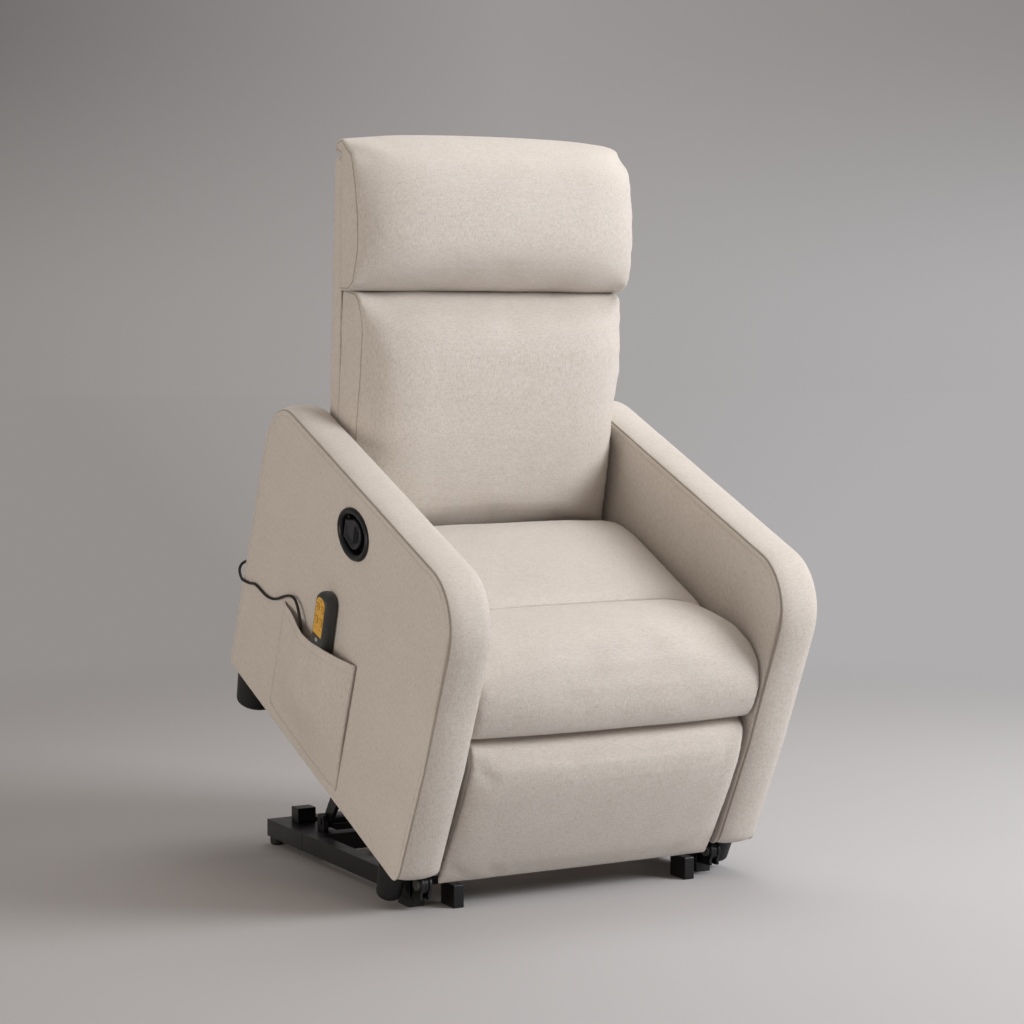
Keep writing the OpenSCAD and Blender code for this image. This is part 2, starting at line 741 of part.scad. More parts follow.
back_strap_places = [for (k = [0.13, 0.2, 0.38, 0.46, 0.54, 0.72, 0.81, 0.88])
    k * back_frame_length];
module back_straps() color(webbing) back_frame()
    for (z = back_strap_places)
        block([-upright_x + upright_width, frame_front, z],
            [upright_x - upright_width, frame_front + strap_thickness, z + 30]);

motor_thickness = 16;
module massage_motors() color(plastic) back_frame() both_sides()
    for (z = [0.4, 0.84] * back_frame_length)
        translate([back_width / 6, frame_front + strap_thickness, z]) rotate([-90, 0, 0])
            cylinder(h = motor_thickness, r = motor_disc_radius);

// The cover of the back's rear wraps round both its sides
panel_wrap = 3.5;
wrap_out = back_width / 2 - side_gap;
module back_panel() color(cloth) back_frame() {
    block([panel_wrap - wrap_out, frame_back + soft_gap, 28],
        [wrap_out - panel_wrap, 0, back_frame_length - 2]);
    both_sides() block([wrap_out - panel_wrap, frame_front, 28],
        [wrap_out, 0, back_frame_length - 2]);
}

// Outlines drawn for a back of 690, stretched to its length
back_stretch = back_frame_length / 690;
function stretched(outline) = [for (p = outline) [p[0], p[1] * back_stretch]];
back_top = 461;
back_side = [
    [pad_rear, 26], [pad_rear, back_top], [-78, back_top], [-95, 452], [-104, 425], [-108, 362],
    [-105, 300], [-96, 220], [-86, 150], [-76, 84], [-66, 40], [-58, 26]
];
back_middle = [
    [pad_rear, 26], [pad_rear, back_top], [-80, back_top], [-101, 453], [-115, 422], [-122, 358],
    [-120, 296], [-112, 220], [-101, 150], [-88, 84], [-71, 40], [-58, 26]
];
module back_cushion() color(cloth) back_frame()
    cushion(back_width / 2, stretched(back_side), stretched(back_middle));

head_bottom = back_top + 4;
head_lap = 3;
head_over = (back_frame_length + head_lap) / back_stretch;
head_side = [
    [pad_rear, head_bottom], [pad_rear, head_over], [0, head_over], [-2, 708], [-20, 717],
    [-48, 714], [-75, 698], [-93, 675], [-105, 645], [-113, 600], [-116, 555], [-112, 508],
    [-101, 476], [-82, head_bottom]
];
head_middle = [
    [pad_rear, head_bottom], [pad_rear, head_over], [0, head_over], [-2, 712], [-20, 724],
    [-50, 723], [-82, 706], [-104, 680], [-119, 645], [-129, 600], [-132, 555], [-127, 508],
    [-110, 474], [-84, head_bottom]
];
module head_cushion() color(cloth) back_frame()
    cushion(head_width / 2, stretched(head_side), stretched(head_middle));

// ---------------------------------------------------------------- legrest
scissor_root = [115, 195];
shut_end = [60, 120];
open_end = [-195, 280];
function elbow_of(end) = let (
        across = end - scissor_root,
        half = acos(norm(across) / 2 / scissor_link_length))
    scissor_root + scissor_link_length * [cos(direction(across) + half),
        sin(direction(across) + half)];
elbow = elbow_of(shut_end);
mount_x = inner_x - 51;
rear_link_x = mount_x - end_play - link_thickness;
front_link_x = rear_link_x - end_play - link_thickness;
bracket_x = front_link_x - end_play - link_thickness;
washer = 2;

module link(x, a, b) {
    along = direction(b - a);
    plate(x, x + link_thickness, concat(
        arc_points(b, link_width / 2, along - 90, along + 90, 12),
        arc_points(a, link_width / 2, along + 90, along + 270, 12)));
}

module link_bore(x, at) cross_rod(x - 1, x + link_thickness + 1, at, pivot_radius + running);

// A pin from a plate's inner face through the next link, with a washer head
module link_pin(x, at) {
    cross_rod(x - end_play * 2 - link_thickness, x, at, pivot_radius);
    cross_rod(x - end_play * 2 - link_thickness - washer, x - end_play * 2 - link_thickness, at,
        pivot_radius + 3);
}

module legrest_mounts() color(steel) chair_frame() both_sides() {
    plate(mount_x, mount_x + link_thickness, [
        [scissor_root[0] - 22, scissor_root[1] - 16], [scissor_root[0] + 22, scissor_root[1] - 16],
        [second_rail_y + 20, seat_rail_bottom], [front_rail_y + 14, seat_rail_bottom]
    ]);
    link_pin(mount_x, scissor_root);
}

module legrest_rear_links() color(steel) chair_frame() both_sides() {
    difference() {
        link(rear_link_x, scissor_root, elbow);
        link_bore(rear_link_x, scissor_root);
    }
    link_pin(rear_link_x, elbow);
}

module legrest_front_links() color(steel) chair_frame() both_sides() {
    difference() {
        link(front_link_x, elbow, shut_end);
        link_bore(front_link_x, elbow);
    }
    link_pin(front_link_x, shut_end);
}

legrest_top = 255;
legrest_bottom = -14;
board_front = 20;
board_rear = board_front + legrest_board_thickness;
board_margin = 14;
bracket_half = 62;
module legrest_board() color(timber) chair_frame() {
    block([-legrest_width / 2 + board_margin, board_front, legrest_bottom + 4],
        [legrest_width / 2 - board_margin, board_rear, legrest_top - 5]);
    both_sides() difference() {
        union() {
            plate(bracket_x, bracket_x + link_thickness, [
                [board_rear, shut_end[1] - bracket_half], [board_rear, shut_end[1] + bracket_half],
                [shut_end[0] + 4, shut_end[1] + link_width / 2],
                [shut_end[0] + 4, shut_end[1] - link_width / 2]
            ]);
            cross_rod(bracket_x, bracket_x + link_thickness, shut_end, link_width / 2);
        }
        link_bore(bracket_x, shut_end);
    }
}

pad_back = board_front - soft_gap;
legrest_side = [
    [pad_back, legrest_bottom], [pad_back, legrest_top], [-4, legrest_top], [-14, 244], [-20, 219],
    [-20, 190], [-17, 160], [-9, 105], [4, 25], [10, -4], [14, legrest_bottom]
];
legrest_middle = [
    [pad_back, legrest_bottom], [pad_back, legrest_top], [-7, legrest_top], [-19, 245], [-27, 219],
    [-28, 190], [-25, 160], [-16, 105], [0, 25], [8, -4], [13, legrest_bottom]
];
module legrest_pad() color(cloth) chair_frame()
    cushion(legrest_width / 2, legrest_side, legrest_middle);

// ---------------------------------------------------------------- release lever
surround_proud = 4;
rim_x = -outer_x - surround_proud;
cup_half_length = surround_half_length - surround_rim;
cup_half_height = surround_half_height - surround_rim;
paddle_pin = [cup_half_length - 16, 0];
paddle_pin_radius = 2;
barrel_radius = 5;
barrel_half = 17;
paddle_out = rim_x + 2;
pin_x = paddle_out + barrel_radius + 3;

// A plate across X in the lever's own frame
module lever_surround() color(plastic) chair_frame() lever_frame() {
    difference() {
        union() {
            plate(rim_x, -outer_x, ellipse(surround_half_length, surround_half_height, 48));
            plate(-outer_x, rim_x + cup_depth,
                ellipse(cup_half_length + cup_wall, cup_half_height + cup_wall, 48));
        }
        plate(rim_x - 1, rim_x + cup_depth - cup_wall,
            ellipse(cup_half_length, cup_half_height, 48));
    }
    // Pin and its two posts
    translate([pin_x, paddle_pin[0], -barrel_half - 5]) cylinder(h = 2 * barrel_half + 10,
        r = paddle_pin_radius);
    for (z = [-barrel_half - 5, barrel_half + 1])
        block([pin_x - 4, paddle_pin[0] - 4, z], [rim_x + cup_depth - cup_wall,
            paddle_pin[0] + 4, z + 4]);
}

paddle_half = 25;
module lever_paddle() color(plastic) chair_frame() lever_frame() difference() {
    union() {
        plate(paddle_out, paddle_out + paddle_thickness, concat(
            [[paddle_pin[0] - 6, -barrel_half], [paddle_pin[0] + 4, -barrel_half],
                [paddle_pin[0] + 4, barrel_half], [paddle_pin[0] - 6, barrel_half]],
            [for (k = [0:8]) let (a = 75 + 210 * k / 8)
                [(cup_half_length - 20) * cos(a) - 1, paddle_half * sin(a)]]));
        translate([pin_x, paddle_pin[0], -barrel_half]) cylinder(h = 2 * barrel_half,
            r = barrel_radius);
    }
    translate([pin_x, paddle_pin[0], -barrel_half - 1]) cylinder(h = 2 * barrel_half + 2,
        r = paddle_pin_radius + running);
}

cable_cup = -rim_x - cup_depth;
cable_core = core_x + core_thickness / 2;
cable_rail = rail_in - 14;
cable_points = [
    [-cable_cup, cable_front, lever_centre[1] - 11], [3 - core_x - 10, cable_front, lever_centre[1] - 13],
    [-core_x - 4, cable_front, lever_centre[1] - 22], [-core_x - 5, cable_front, lever_centre[1] - 39],
    [-core_x - 8, cable_front, 395], [-cable_core, cable_front, 360], [-cable_core, cable_front, 300],
    [-cable_core, cable_front, 236], [-cable_core, 350, 204], [-cable_core, 375, 191],
    [-cable_core + 1, 402, cable_low], [-cable_core + 7, 420, cable_low],
    [-inner_x - 30, cable_rear, cable_low], [-inner_x - 5, cable_rear, cable_low],
    [-rail_in - 9, cable_rear, cable_low], [-cable_rail - 8, 420, cable_low],
    [-cable_rail - 1, 405, cable_low], [-cable_rail, 380, cable_low],
    [-cable_rail, 320, cable_low], [-cable_rail, 250, cable_low],
    [-cable_rail, 210, cable_low], [-cable_rail, 192, cable_low + 3],
    [-cable_rail, 184, seat_rail_bottom]
];
module release_cable() color(plastic) chair_frame()
    swept_tube(smooth(cable_points, 3), cable_radius, 8, [0, 1, 0]);

// ---------------------------------------------------------------- pocket and handset
pocket_front = 256;
pocket_rear = 562;
pocket_bottom = 22;
pocket_high = 260;
pocket_low = 226;
pocket_out = -outer_x - handset_thickness - 3;
handset_y = 381;
// Plan of the pocket's cloth, as [x, y] points from its front seam to its rear seam
pocket_plan = [
    [-outer_x, pocket_front], [-outer_x - 4, pocket_front], [-outer_x - 14, 292],
    [pocket_out, 336], [pocket_out, 425], [-outer_x - 12, 505], [-outer_x - 4, pocket_rear],
    [-outer_x, pocket_rear]
];
pocket_hollow = [
    [-outer_x + 1, pocket_front + 3], [-outer_x - 3, pocket_front + 4],
    [-outer_x - 12, 293], [pocket_out + pocket_cloth, 337],
    [pocket_out + pocket_cloth, 424], [-outer_x - 10, 504], [-outer_x - 2, pocket_rear - 3],
    [-outer_x + 1, pocket_rear - 3]
];
module side_pocket() color(cloth) chair_frame() difference() {
    translate([0, 0, pocket_bottom]) linear_extrude(pocket_high - pocket_bottom)
        polygon(pocket_plan);
    translate([0, 0, pocket_bottom + pocket_cloth]) linear_extrude(pocket_high)
        polygon(pocket_hollow);
    // The mouth sags towards the rear
    plate(-outer_x - 60, -outer_x + 60, [
        [pocket_front + 20, pocket_high], [330, 251], [385, 238], [430, 231], [480, 232],
        [pocket_rear + 10, pocket_low], [pocket_rear + 10, pocket_high + 60],
        [pocket_front + 20, pocket_high + 60]
    ]);
}

handset_lean = -4;
handset_top = 333;
handset_in = -outer_x - 1;
handset_out = handset_in - handset_thickness;
handset_corner = 20;
keypad_recess = 1;
keypad_half = 17.5;
keypad_length = 67;
keypad_top = -9;
relief_length = 16;
button_travel = 0.8;
button_places = [for (z = [-27, -50], y = [-8.5, 8.5]) [y, z]];

// Y and Z follow the handset, from the middle of its top end
module handset_frame() chair_frame() translate([0, handset_y, handset_top])
    rotate([handset_lean, 0, 0]) children();

function handset_outline(m) = concat(
    arc_points([handset_width / 2 - handset_corner, -handset_corner], handset_corner - m, 0, 90, 6),
    arc_points([-handset_width / 2 + handset_corner, -handset_corner], handset_corner - m,
        90, 180, 6),
    arc_points([-handset_width / 2 + 14, -handset_length + 14], 14 - m, 180, 270, 5),
    arc_points([handset_width / 2 - 14, -handset_length + 14], 14 - m, 270, 360, 5));

function keypad_outline(m) = concat(
    arc_points([keypad_half - 14, keypad_top - 14], 14 - m, 0, 90, 6),
    arc_points([-keypad_half + 14, keypad_top - 14], 14 - m, 90, 180, 6),
    [[-keypad_half + m, keypad_top - keypad_length + m],
        [keypad_half - m, keypad_top - keypad_length + m]]);

button_depth = 3;
module handset_shell() color(plastic) handset_frame() difference() {
    union() {
        plate(handset_out + 5, handset_in - 3, handset_outline(0));
        plate(handset_in - 3, handset_in, handset_outline(3));
        plate(handset_out, handset_out + 5, handset_outline(4));
        translate([(handset_in + handset_out) / 2, 0, -handset_length - relief_length])
            cylinder(h = relief_length + 1, r1 = cord_radius + 0.8, r2 = cord_radius + 3);
    }
    plate(handset_out - 1, handset_out + keypad_recess, keypad_outline(0));
    for (p = button_places)
        cross_rod(handset_out, handset_out + button_depth + 2, p, button_radius + 0.4);
}

module handset_keypad() color([0.9, 0.68, 0.25]) handset_frame() difference() {
    plate(handset_out, handset_out + keypad_recess, keypad_outline(soft_gap));
    for (p = button_places)
        cross_rod(handset_out - 1, handset_out + keypad_recess + 1, p, button_radius + 0.4);
}

module button(k) color(plastic) handset_frame()
    cross_rod(handset_out - 1, handset_out + button_depth, button_places[k], button_radius);

module upper_front_button() button(0);
module upper_rear_button() button(1);
module lower_front_button() button(2);
module lower_rear_button() button(3);

cord_x = -outer_x - 0.5 - cord_radius;
cord_inside = (handset_in + handset_out) / 2;
cord_points = [
    [29 - inner_x, apron_y + apron_depth, 196], [29 - inner_x, apron_y + 28, 196],
    [21 - inner_x, apron_y + 40, 198], [3 - inner_x, apron_y + 45, 202],
    [-inner_x - 25, apron_y + 45.5, 206], [-inner_x - 51, apron_y + 44.5, 204],
    [3 - outer_x, apron_y + 41, 198], [-outer_x - 4, apron_y + 37, 189],
    [-outer_x - 5, apron_y + 29, 181], [-outer_x - 5, apron_y + 17, 177],
    [cord_x - 1, apron_y + 5, 179], [cord_x - 0.5, 712, 184], [cord_x, 686, 194],
    [cord_x, 640, 197], [cord_x, 612, 204], [cord_x, 588, 216], [cord_x - 0.5, 560, 235],
    [cord_x - 2, 536, 248], [cord_x - 4, 512, 254], [cord_x - 6, 490, 248],
    [cord_x - 8, 468, 232], [cord_inside, 450, 208], [cord_inside, 436, 176],
    [cord_inside, 428, 140], [cord_inside, 418, 108], [cord_inside, 402, 86],
    [cord_inside, 383, 78], [cord_inside, 368, 87], [cord_inside, 365, 109],
    [cord_inside, 366.6, 127], [cord_inside, 368, 147.5]
];
module handset_cord() color([0.12, 0.11, 0.1]) chair_frame()
    swept_tube(smooth(cord_points, 2), cord_radius, 8, [0, 0, 1]);

floor_side_tubes();
floor_end_tubes();
floor_cross_tubes();
floor_front_legs();
floor_glides();
stop_blocks();
floor_brackets();
floor_pins();
drive_gearbox();
drive_motor();
drive_tube();
drive_rod();
lift_arms();
lift_arm_shaft();
lift_rollers();
lift_rails();
lift_cross_tube();
lift_cam_plates();
drive_clevis();
drive_rod_pin();
left_arm_panel();
left_arm_core();
left_arm_pad();
right_arm_panel();
right_arm_core();
right_arm_pad();
seat_side_rails();
seat_cross_rails();
seat_straps();
roll_board();
seat_cushion();
front_roll();
rear_apron();
control_box();
front_feet();
rear_feet();
back_brackets();
back_uprights();
back_cross_rails();
back_straps();
massage_motors();
back_panel();
back_cushion();
head_cushion();
legrest_mounts();
legrest_rear_links();
legrest_front_links();
legrest_board();
legrest_pad();
lever_surround();
lever_paddle();
release_cable();
side_pocket();
handset_shell();
handset_keypad();
upper_front_button();
upper_rear_button();
lower_front_button();
lower_rear_button();
handset_cord();
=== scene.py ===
"""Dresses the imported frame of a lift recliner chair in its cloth, plastics and steel."""

import json
import logging
import math
from dataclasses import dataclass, field, replace
from enum import Enum
from typing import Callable, Optional, Sequence, Union

import bmesh
import bpy
import numpy as np
from mathutils import Matrix, Vector, noise

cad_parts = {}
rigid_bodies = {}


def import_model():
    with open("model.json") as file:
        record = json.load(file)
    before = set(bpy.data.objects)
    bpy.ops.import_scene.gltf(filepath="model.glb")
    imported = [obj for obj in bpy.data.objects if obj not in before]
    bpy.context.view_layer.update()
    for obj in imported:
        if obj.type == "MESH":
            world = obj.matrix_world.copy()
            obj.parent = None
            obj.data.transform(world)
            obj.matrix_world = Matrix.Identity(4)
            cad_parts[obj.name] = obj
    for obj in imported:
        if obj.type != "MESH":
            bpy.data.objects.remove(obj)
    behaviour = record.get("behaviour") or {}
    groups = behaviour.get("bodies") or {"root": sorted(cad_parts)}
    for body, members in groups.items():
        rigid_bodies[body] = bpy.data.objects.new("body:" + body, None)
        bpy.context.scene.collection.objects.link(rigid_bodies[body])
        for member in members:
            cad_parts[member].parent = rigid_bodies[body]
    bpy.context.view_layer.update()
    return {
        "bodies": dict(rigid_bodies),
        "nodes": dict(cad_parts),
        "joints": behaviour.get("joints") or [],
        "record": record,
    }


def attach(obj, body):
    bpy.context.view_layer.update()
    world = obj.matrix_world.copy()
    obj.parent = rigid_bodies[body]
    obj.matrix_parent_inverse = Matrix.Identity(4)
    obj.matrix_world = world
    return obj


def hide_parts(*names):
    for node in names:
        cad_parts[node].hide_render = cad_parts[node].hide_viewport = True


log = logging.getLogger("lift_recliner")

MM = 0.001
LIFT_TILT = 22.0
BACK_RAKE = 18.0
INNER_X = 265.0
OUTER_X = 340.0
SEAM_REACH = 20.0
SEAM_ROW = 13.0
SETTLE_FRAMES = 20
NATURAL_BASE = 2.718


class Body(Enum):
    """The bodies of the frame that new pieces ride on."""

    CHAIR = "chair"
    BACK = "back"
    LEGREST = "legrest"
    LEVER = "release_lever"


class Slot(Enum):
    """The record's material slots."""

    BLACK_STEEL = "black_steel"
    ZINC_STEEL = "zinc_steel"
    BEIGE_CLOTH = "beige_cloth"
    PLYWOOD = "plywood"
    BLACK_PLASTIC = "black_plastic"
    GREY_PLASTIC = "grey_plastic"
    YELLOW_FILM = "yellow_film"
    STRAP_WEBBING = "strap_webbing"
    CORD_RUBBER = "cord_rubber"


class Side(Enum):
    """Left and right as seen by someone who faces the chair."""

    LEFT = -1
    RIGHT = 1


def turned(origin: tuple[float, float, float], degrees: float) -> Matrix:
    """Return the frame at an origin in metres, turned about X by some degrees."""
    return Matrix.Translation(origin) @ Matrix.Rotation(math.radians(degrees), 4, "X")


CHAIR = turned((0.0135, -0.222, 0.042), LIFT_TILT) @ Matrix.Translation((0.0, -0.028, 0.020))
BACK = CHAIR @ turned((0.0, 0.590, 0.300), -BACK_RAKE)
LEVER = CHAIR @ turned((0.0, 0.347, 0.457), -6.0)
HANDSET = CHAIR @ turned((0.0, 0.381, 0.333), -4.0)
SWAP_XY = Matrix(((0, 1, 0, 0), (1, 0, 0, 0), (0, 0, 1, 0), (0, 0, 0, 1)))


def srgb(red: float, green: float, blue: float) -> tuple[float, float, float, float]:
    """Return the linear colour of an 8-bit screen colour.

    Args:
        red: Red, 0 to 255.
        green: Green, 0 to 255.
        blue: Blue, 0 to 255.

    Returns:
        The linear colour with full alpha.
    """
    def linear(value: float) -> float:
        """Return one channel, made linear."""
        share = value / 255.0
        return share / 12.92 if share <= 0.04045 else ((share + 0.055) / 1.055) ** 2.4
    return (linear(red), linear(green), linear(blue), 1.0)


def smoothstep(low: float, high: float, value: float) -> float:
    """Return 0 below low, 1 above high and a smooth rise between them."""
    t = min(1.0, max(0.0, (value - low) / (high - low)))
    return t * t * (3.0 - 2.0 * t)


# ------------------------------------------------------------------ shader graph


class Wire:
    """A shader socket that takes part in plain arithmetic."""

    def __init__(self, graph: "Graph", socket: bpy.types.NodeSocket) -> None:
        """Keep the socket and the graph that it is in."""
        self.graph = graph
        self.socket = socket

    def _math(self, operation: str, first: "Value", second: "Value" = 0.0) -> "Wire":
        """Return the wire out of a new Math node."""
        return self.graph.node("ShaderNodeMath", {"operation": operation}, {0: first, 1: second})

    def __add__(self, other: "Value") -> "Wire":
        """Return self + other."""
        return self._math("ADD", self, other)

    __radd__ = __add__

    def __sub__(self, other: "Value") -> "Wire":
        """Return self - other."""
        return self._math("SUBTRACT", self, other)

    def __rsub__(self, other: "Value") -> "Wire":
        """Return other - self."""
        return self._math("SUBTRACT", other, self)

    def __mul__(self, other: "Value") -> "Wire":
        """Return self * other."""
        return self._math("MULTIPLY", self, other)

    __rmul__ = __mul__

    def __rpow__(self, base: "Value") -> "Wire":
        """Return base ** self."""
        return self._math("POWER", base, self)

    def __abs__(self) -> "Wire":
        """Return the absolute value."""
        return self._math("ABSOLUTE", self)

    def sine(self) -> "Wire":
        """Return the sine."""
        return self._math("SINE", self)

    def below(self, limit: "Value") -> "Wire":
        """Return 1 where the wire is less than the limit."""
        return self._math("LESS_THAN", self, limit)

    def above(self, limit: "Value") -> "Wire":
        """Return 1 where the wire is more than the limit."""
        return self._math("GREATER_THAN", self, limit)

    def most(self, other: "Value") -> "Wire":
        """Return the larger of two values."""
        return self._math("MAXIMUM", self, other)


Value = Union[Wire, float, int, Sequence[float]]


class Graph:
    """The nodes of one node tree."""

    def __init__(self, tree: bpy.types.NodeTree) -> None:
        """Start with an empty tree."""
        self.tree = tree
        tree.nodes.clear()

    def node(self, kind: str, settings: dict[str, object], inputs: dict[Union[str, int], Value],
             output: Union[str, int] = 0) -> Wire:
        """Add a node.

        Args:
            kind: The node's type.
            settings: Attributes that are set first.
            inputs: Values or wires by socket name or number.
            output: The socket that the wire comes from.

        Returns:
            The wire out of the node.
        """
        made = self.tree.nodes.new(kind)
        for key, value in settings.items():
            if key == "stops":
                ramp = made.color_ramp
                for place, (position, colour) in enumerate(value):
                    stop = ramp.elements[place] if place < 2 else ramp.elements.new(position)
                    stop.position, stop.color = position, colour
            else:
                setattr(made, key, value)
        for key, value in inputs.items():
            if isinstance(value, Wire):
                self.tree.links.new(value.socket, made.inputs[key])
            else:
                made.inputs[key].default_value = value
        return Wire(self, made.outputs[output])

    def place(self, frame: Matrix) -> Wire:
        """Return Object coordinates in metres as seen from a frame."""
        seen = frame.inverted()
        angles = seen.to_euler()
        spot = self.node("ShaderNodeTexCoord", {}, {}, "Object")
        return self.node("ShaderNodeMapping", {"vector_type": "POINT"},
                         {"Vector": spot, "Rotation": tuple(angles),
                          "Location": tuple(seen.translation)})

    def stretched(self, spot: Wire, scale: tuple[float, float, float]) -> Wire:
        """Return coordinates multiplied per axis."""
        return self.node("ShaderNodeVectorMath", {"operation": "MULTIPLY"}, {0: spot, 1: scale})

    def parts(self, spot: Wire) -> tuple[Wire, Wire, Wire]:
        """Return the X, Y and Z of a vector."""
        split = self.node("ShaderNodeSeparateXYZ", {}, {0: spot}).socket.node
        return tuple(Wire(self, split.outputs[k]) for k in range(3))

    def noise(self, spot: Wire, scale: float, detail: float = 2.0) -> Wire:
        """Return smooth noise from 0 to 1."""
        return self.node("ShaderNodeTexNoise", {"noise_dimensions": "3D"},
                         {"Vector": spot, "Scale": scale, "Detail": detail, "Roughness": 0.55})

    def mix(self, factor: Value, first: Value, second: Value) -> Wire:
        """Return a colour between two colours."""
        made = self.tree.nodes.new("ShaderNodeMix")
        made.data_type = "RGBA"
        for number, value in ((0, factor), (6, first), (7, second)):
            if isinstance(value, Wire):
                self.tree.links.new(value.socket, made.inputs[number])
            else:
                made.inputs[number].default_value = value
        return Wire(self, made.outputs[2])

    def between(self, value: Wire, low: float, high: float) -> Wire:
        """Return 0 at low and 1 at high, smooth between them."""
        return self.node("ShaderNodeMapRange", {"interpolation_type": "SMOOTHSTEP"},
                         {0: value, 1: low, 2: high, 3: 0.0, 4: 1.0})

    def relief(self, height: Wire, distance: float, strength: float = 1.0) -> Wire:
        """Return a normal bumped by a height."""
        return self.node("ShaderNodeBump", {}, {
            "Height": height, "Distance": distance, "Strength": strength})

    def dot(self, first: Wire, second: Value) -> Wire:
        """Return the dot product of two vectors."""
        return self.node("ShaderNodeVectorMath", {"operation": "DOT_PRODUCT"},
                         {0: first, 1: second}, "Value")

    def ramp(self, value: Wire, *stops: tuple[float, tuple[float, float, float, float]]) -> Wire:
        """Return the colour that a ramp gives a value."""
        ends = (stops[0], stops[-1], *stops[1:-1])
        return self.node("ShaderNodeValToRGB", {"stops": ends}, {0: value})


class Coat(Graph):
    """One material, with its Principled shader."""

    def __init__(self, name: str, constants: dict[str, Value]) -> None:
        """Start a material.

        Args:
            name: The material's name.
            constants: Values set on the shader's own sockets.
        """
        self.material = bpy.data.materials.new(name)
        self.material.use_nodes = True
        super().__init__(self.material.node_tree)
        self.output = self.tree.nodes.new("ShaderNodeOutputMaterial")
        self.shader = self.tree.nodes.new("ShaderNodeBsdfPrincipled")
        for socket, value in constants.items():
            self.shader.inputs[socket].default_value = value
        self.tree.links.new(self.shader.outputs[0], self.output.inputs[0])

    def feed(self, socket: str, wire: Wire) -> None:
        """Link a wire to a socket of the shader."""
        self.tree.links.new(wire.socket, self.shader.inputs[socket])


# ------------------------------------------------------------------ finishes


@dataclass(frozen=True)
class LinenCloth:
    """A heathered linen-look upholstery cloth with seams read from the pieces, and painted shade in
    the seam creases.
    """

    frame: Matrix
    name: str
    light: tuple[float, float, float, float] = srgb(222, 215, 208)
    middle: tuple[float, float, float, float] = srgb(208, 200, 192)
    dark: tuple[float, float, float, float] = srgb(186, 175, 164)
    # The colour of the painted shade in the seam creases.
    shade: tuple[float, float, float, float] = srgb(112, 98, 84)
    thread: float = 1.3

    def build(self) -> bpy.types.Material:
        """Return the cloth's material."""
        g = Coat(self.name, {"Specular IOR Level": 0.2, "Sheen Weight": 0.2,
                             "Sheen Roughness": 0.5})
        spot = g.place(self.frame)
        warp = g.noise(g.stretched(spot, (1150.0, 1150.0, 120.0)), 1.0, 1.0)
        weft = g.noise(g.stretched(spot, (80.0, 700.0, 950.0)), 1.0, 1.0)
        cloud = g.noise(spot, 11.0, 3.0)
        fleck = g.noise(spot, 330.0, 1.0)
        tone = ((warp - 0.5) * 1.45 + (weft - 0.5) * 0.7 + (cloud - 0.5) * 0.25
                + (fleck - 0.5) * 0.4 + 0.5)
        colour = g.ramp(tone, (0.0, self.dark), (0.5, self.middle), (1.0, self.light))
        seam = g.node("ShaderNodeAttribute", {"attribute_name": "seam"}, {}, "Fac")
        away = abs(seam - 1.0) * SEAM_REACH
        crease = NATURAL_BASE ** (away * away * -1.0)
        near = NATURAL_BASE ** (away * -0.12)
        turns = 2.0 * math.pi / (self.thread * MM)
        x, y, z = (wire.sine() for wire in g.parts(g.stretched(spot, (turns,) * 3)))
        weave = x * y + y * z + z * x
        folds = g.noise(spot, 15.0, 1.0)
        puckers = g.noise(spot, 85.0, 1.0)
        height = (weave * 0.045 + warp * 0.35 + folds * 1.6 + puckers * near * 1.5
                  - crease * 0.9)
        # Painted shade: the colour darkens towards the shade colour in the seam creases.
        g.feed("Base Color", g.mix(crease * 0.65, colour, self.shade))
        g.feed("Roughness", (warp - 0.5) * 0.2 + 0.88)
        g.feed("Normal", g.relief(height, MM, 0.8))
        return g.material


@dataclass(frozen=True)
class SatinCoat:
    """A painted or moulded satin surface with a fine skin and rubbed patches at random."""

    name: str
    colour: tuple[float, float, float, float]
    rubbed: tuple[float, float, float, float]
    roughness: float = 0.42
    grain: float = 900.0
    depth: float = 0.0002
    metallic: float = 0.0

    def build(self) -> bpy.types.Material:
        """Return the coat's material."""
        g = Coat(self.name, {"Specular IOR Level": 0.45, "Metallic": self.metallic})
        spot = g.place(CHAIR)
        skin = g.noise(spot, self.grain, 2.0)
        cloud = g.noise(spot, 22.0, 4.0)
        worn = g.between(cloud * 0.7 + skin * 0.3, 0.52, 0.72)
        g.feed("Base Color", g.mix(worn * 0.6, self.colour, self.rubbed))
        g.feed("Roughness", (cloud - 0.5) * 0.22 + (skin - 0.5) * 0.1 + self.roughness)
        g.feed("Normal", g.relief(skin, self.depth, 0.4))
        return g.material


@dataclass(frozen=True)
class DrawnZinc:
    """Zinc-plated steel with marks drawn across the chair."""

    name: str = "drawn_zinc"

    def build(self) -> bpy.types.Material:
        """Return the plating's material."""
        g = Coat(self.name, {"Metallic": 1.0})
        spot = g.place(CHAIR)
        marks = g.noise(g.stretched(spot, (60.0, 1500.0, 1500.0)), 1.0, 3.0)
        cloud = g.noise(spot, 40.0, 3.0)
        g.feed("Base Color", g.mix(cloud, srgb(176, 178, 180), srgb(202, 203, 202)))
        g.feed("Roughness", marks * 0.2 + 0.26)
        g.feed("Normal", g.relief(marks, 0.0001, 0.3))
        return g.material


@dataclass(frozen=True)
class BirchPly:
    """Plywood with a pale grain that runs across the chair."""

    name: str = "birch_ply"

    def build(self) -> bpy.types.Material:
        """Return the plywood's material."""
        g = Coat(self.name, {"Specular IOR Level": 0.3})
        spot = g.place(CHAIR)
        grain = g.noise(g.stretched(spot, (7.0, 110.0, 110.0)), 1.0, 5.0)
        fleck = g.noise(g.stretched(spot, (90.0, 900.0, 900.0)), 1.0, 2.0)
        tone = g.between(grain * 0.8 + fleck * 0.2, 0.32, 0.68)
        g.feed("Base Color", g.mix(tone, srgb(176, 138, 94), srgb(222, 192, 150)))
        g.feed("Roughness", fleck * 0.2 + 0.55)
        g.feed("Normal", g.relief(grain + fleck, 0.0003, 0.3))
        return g.material


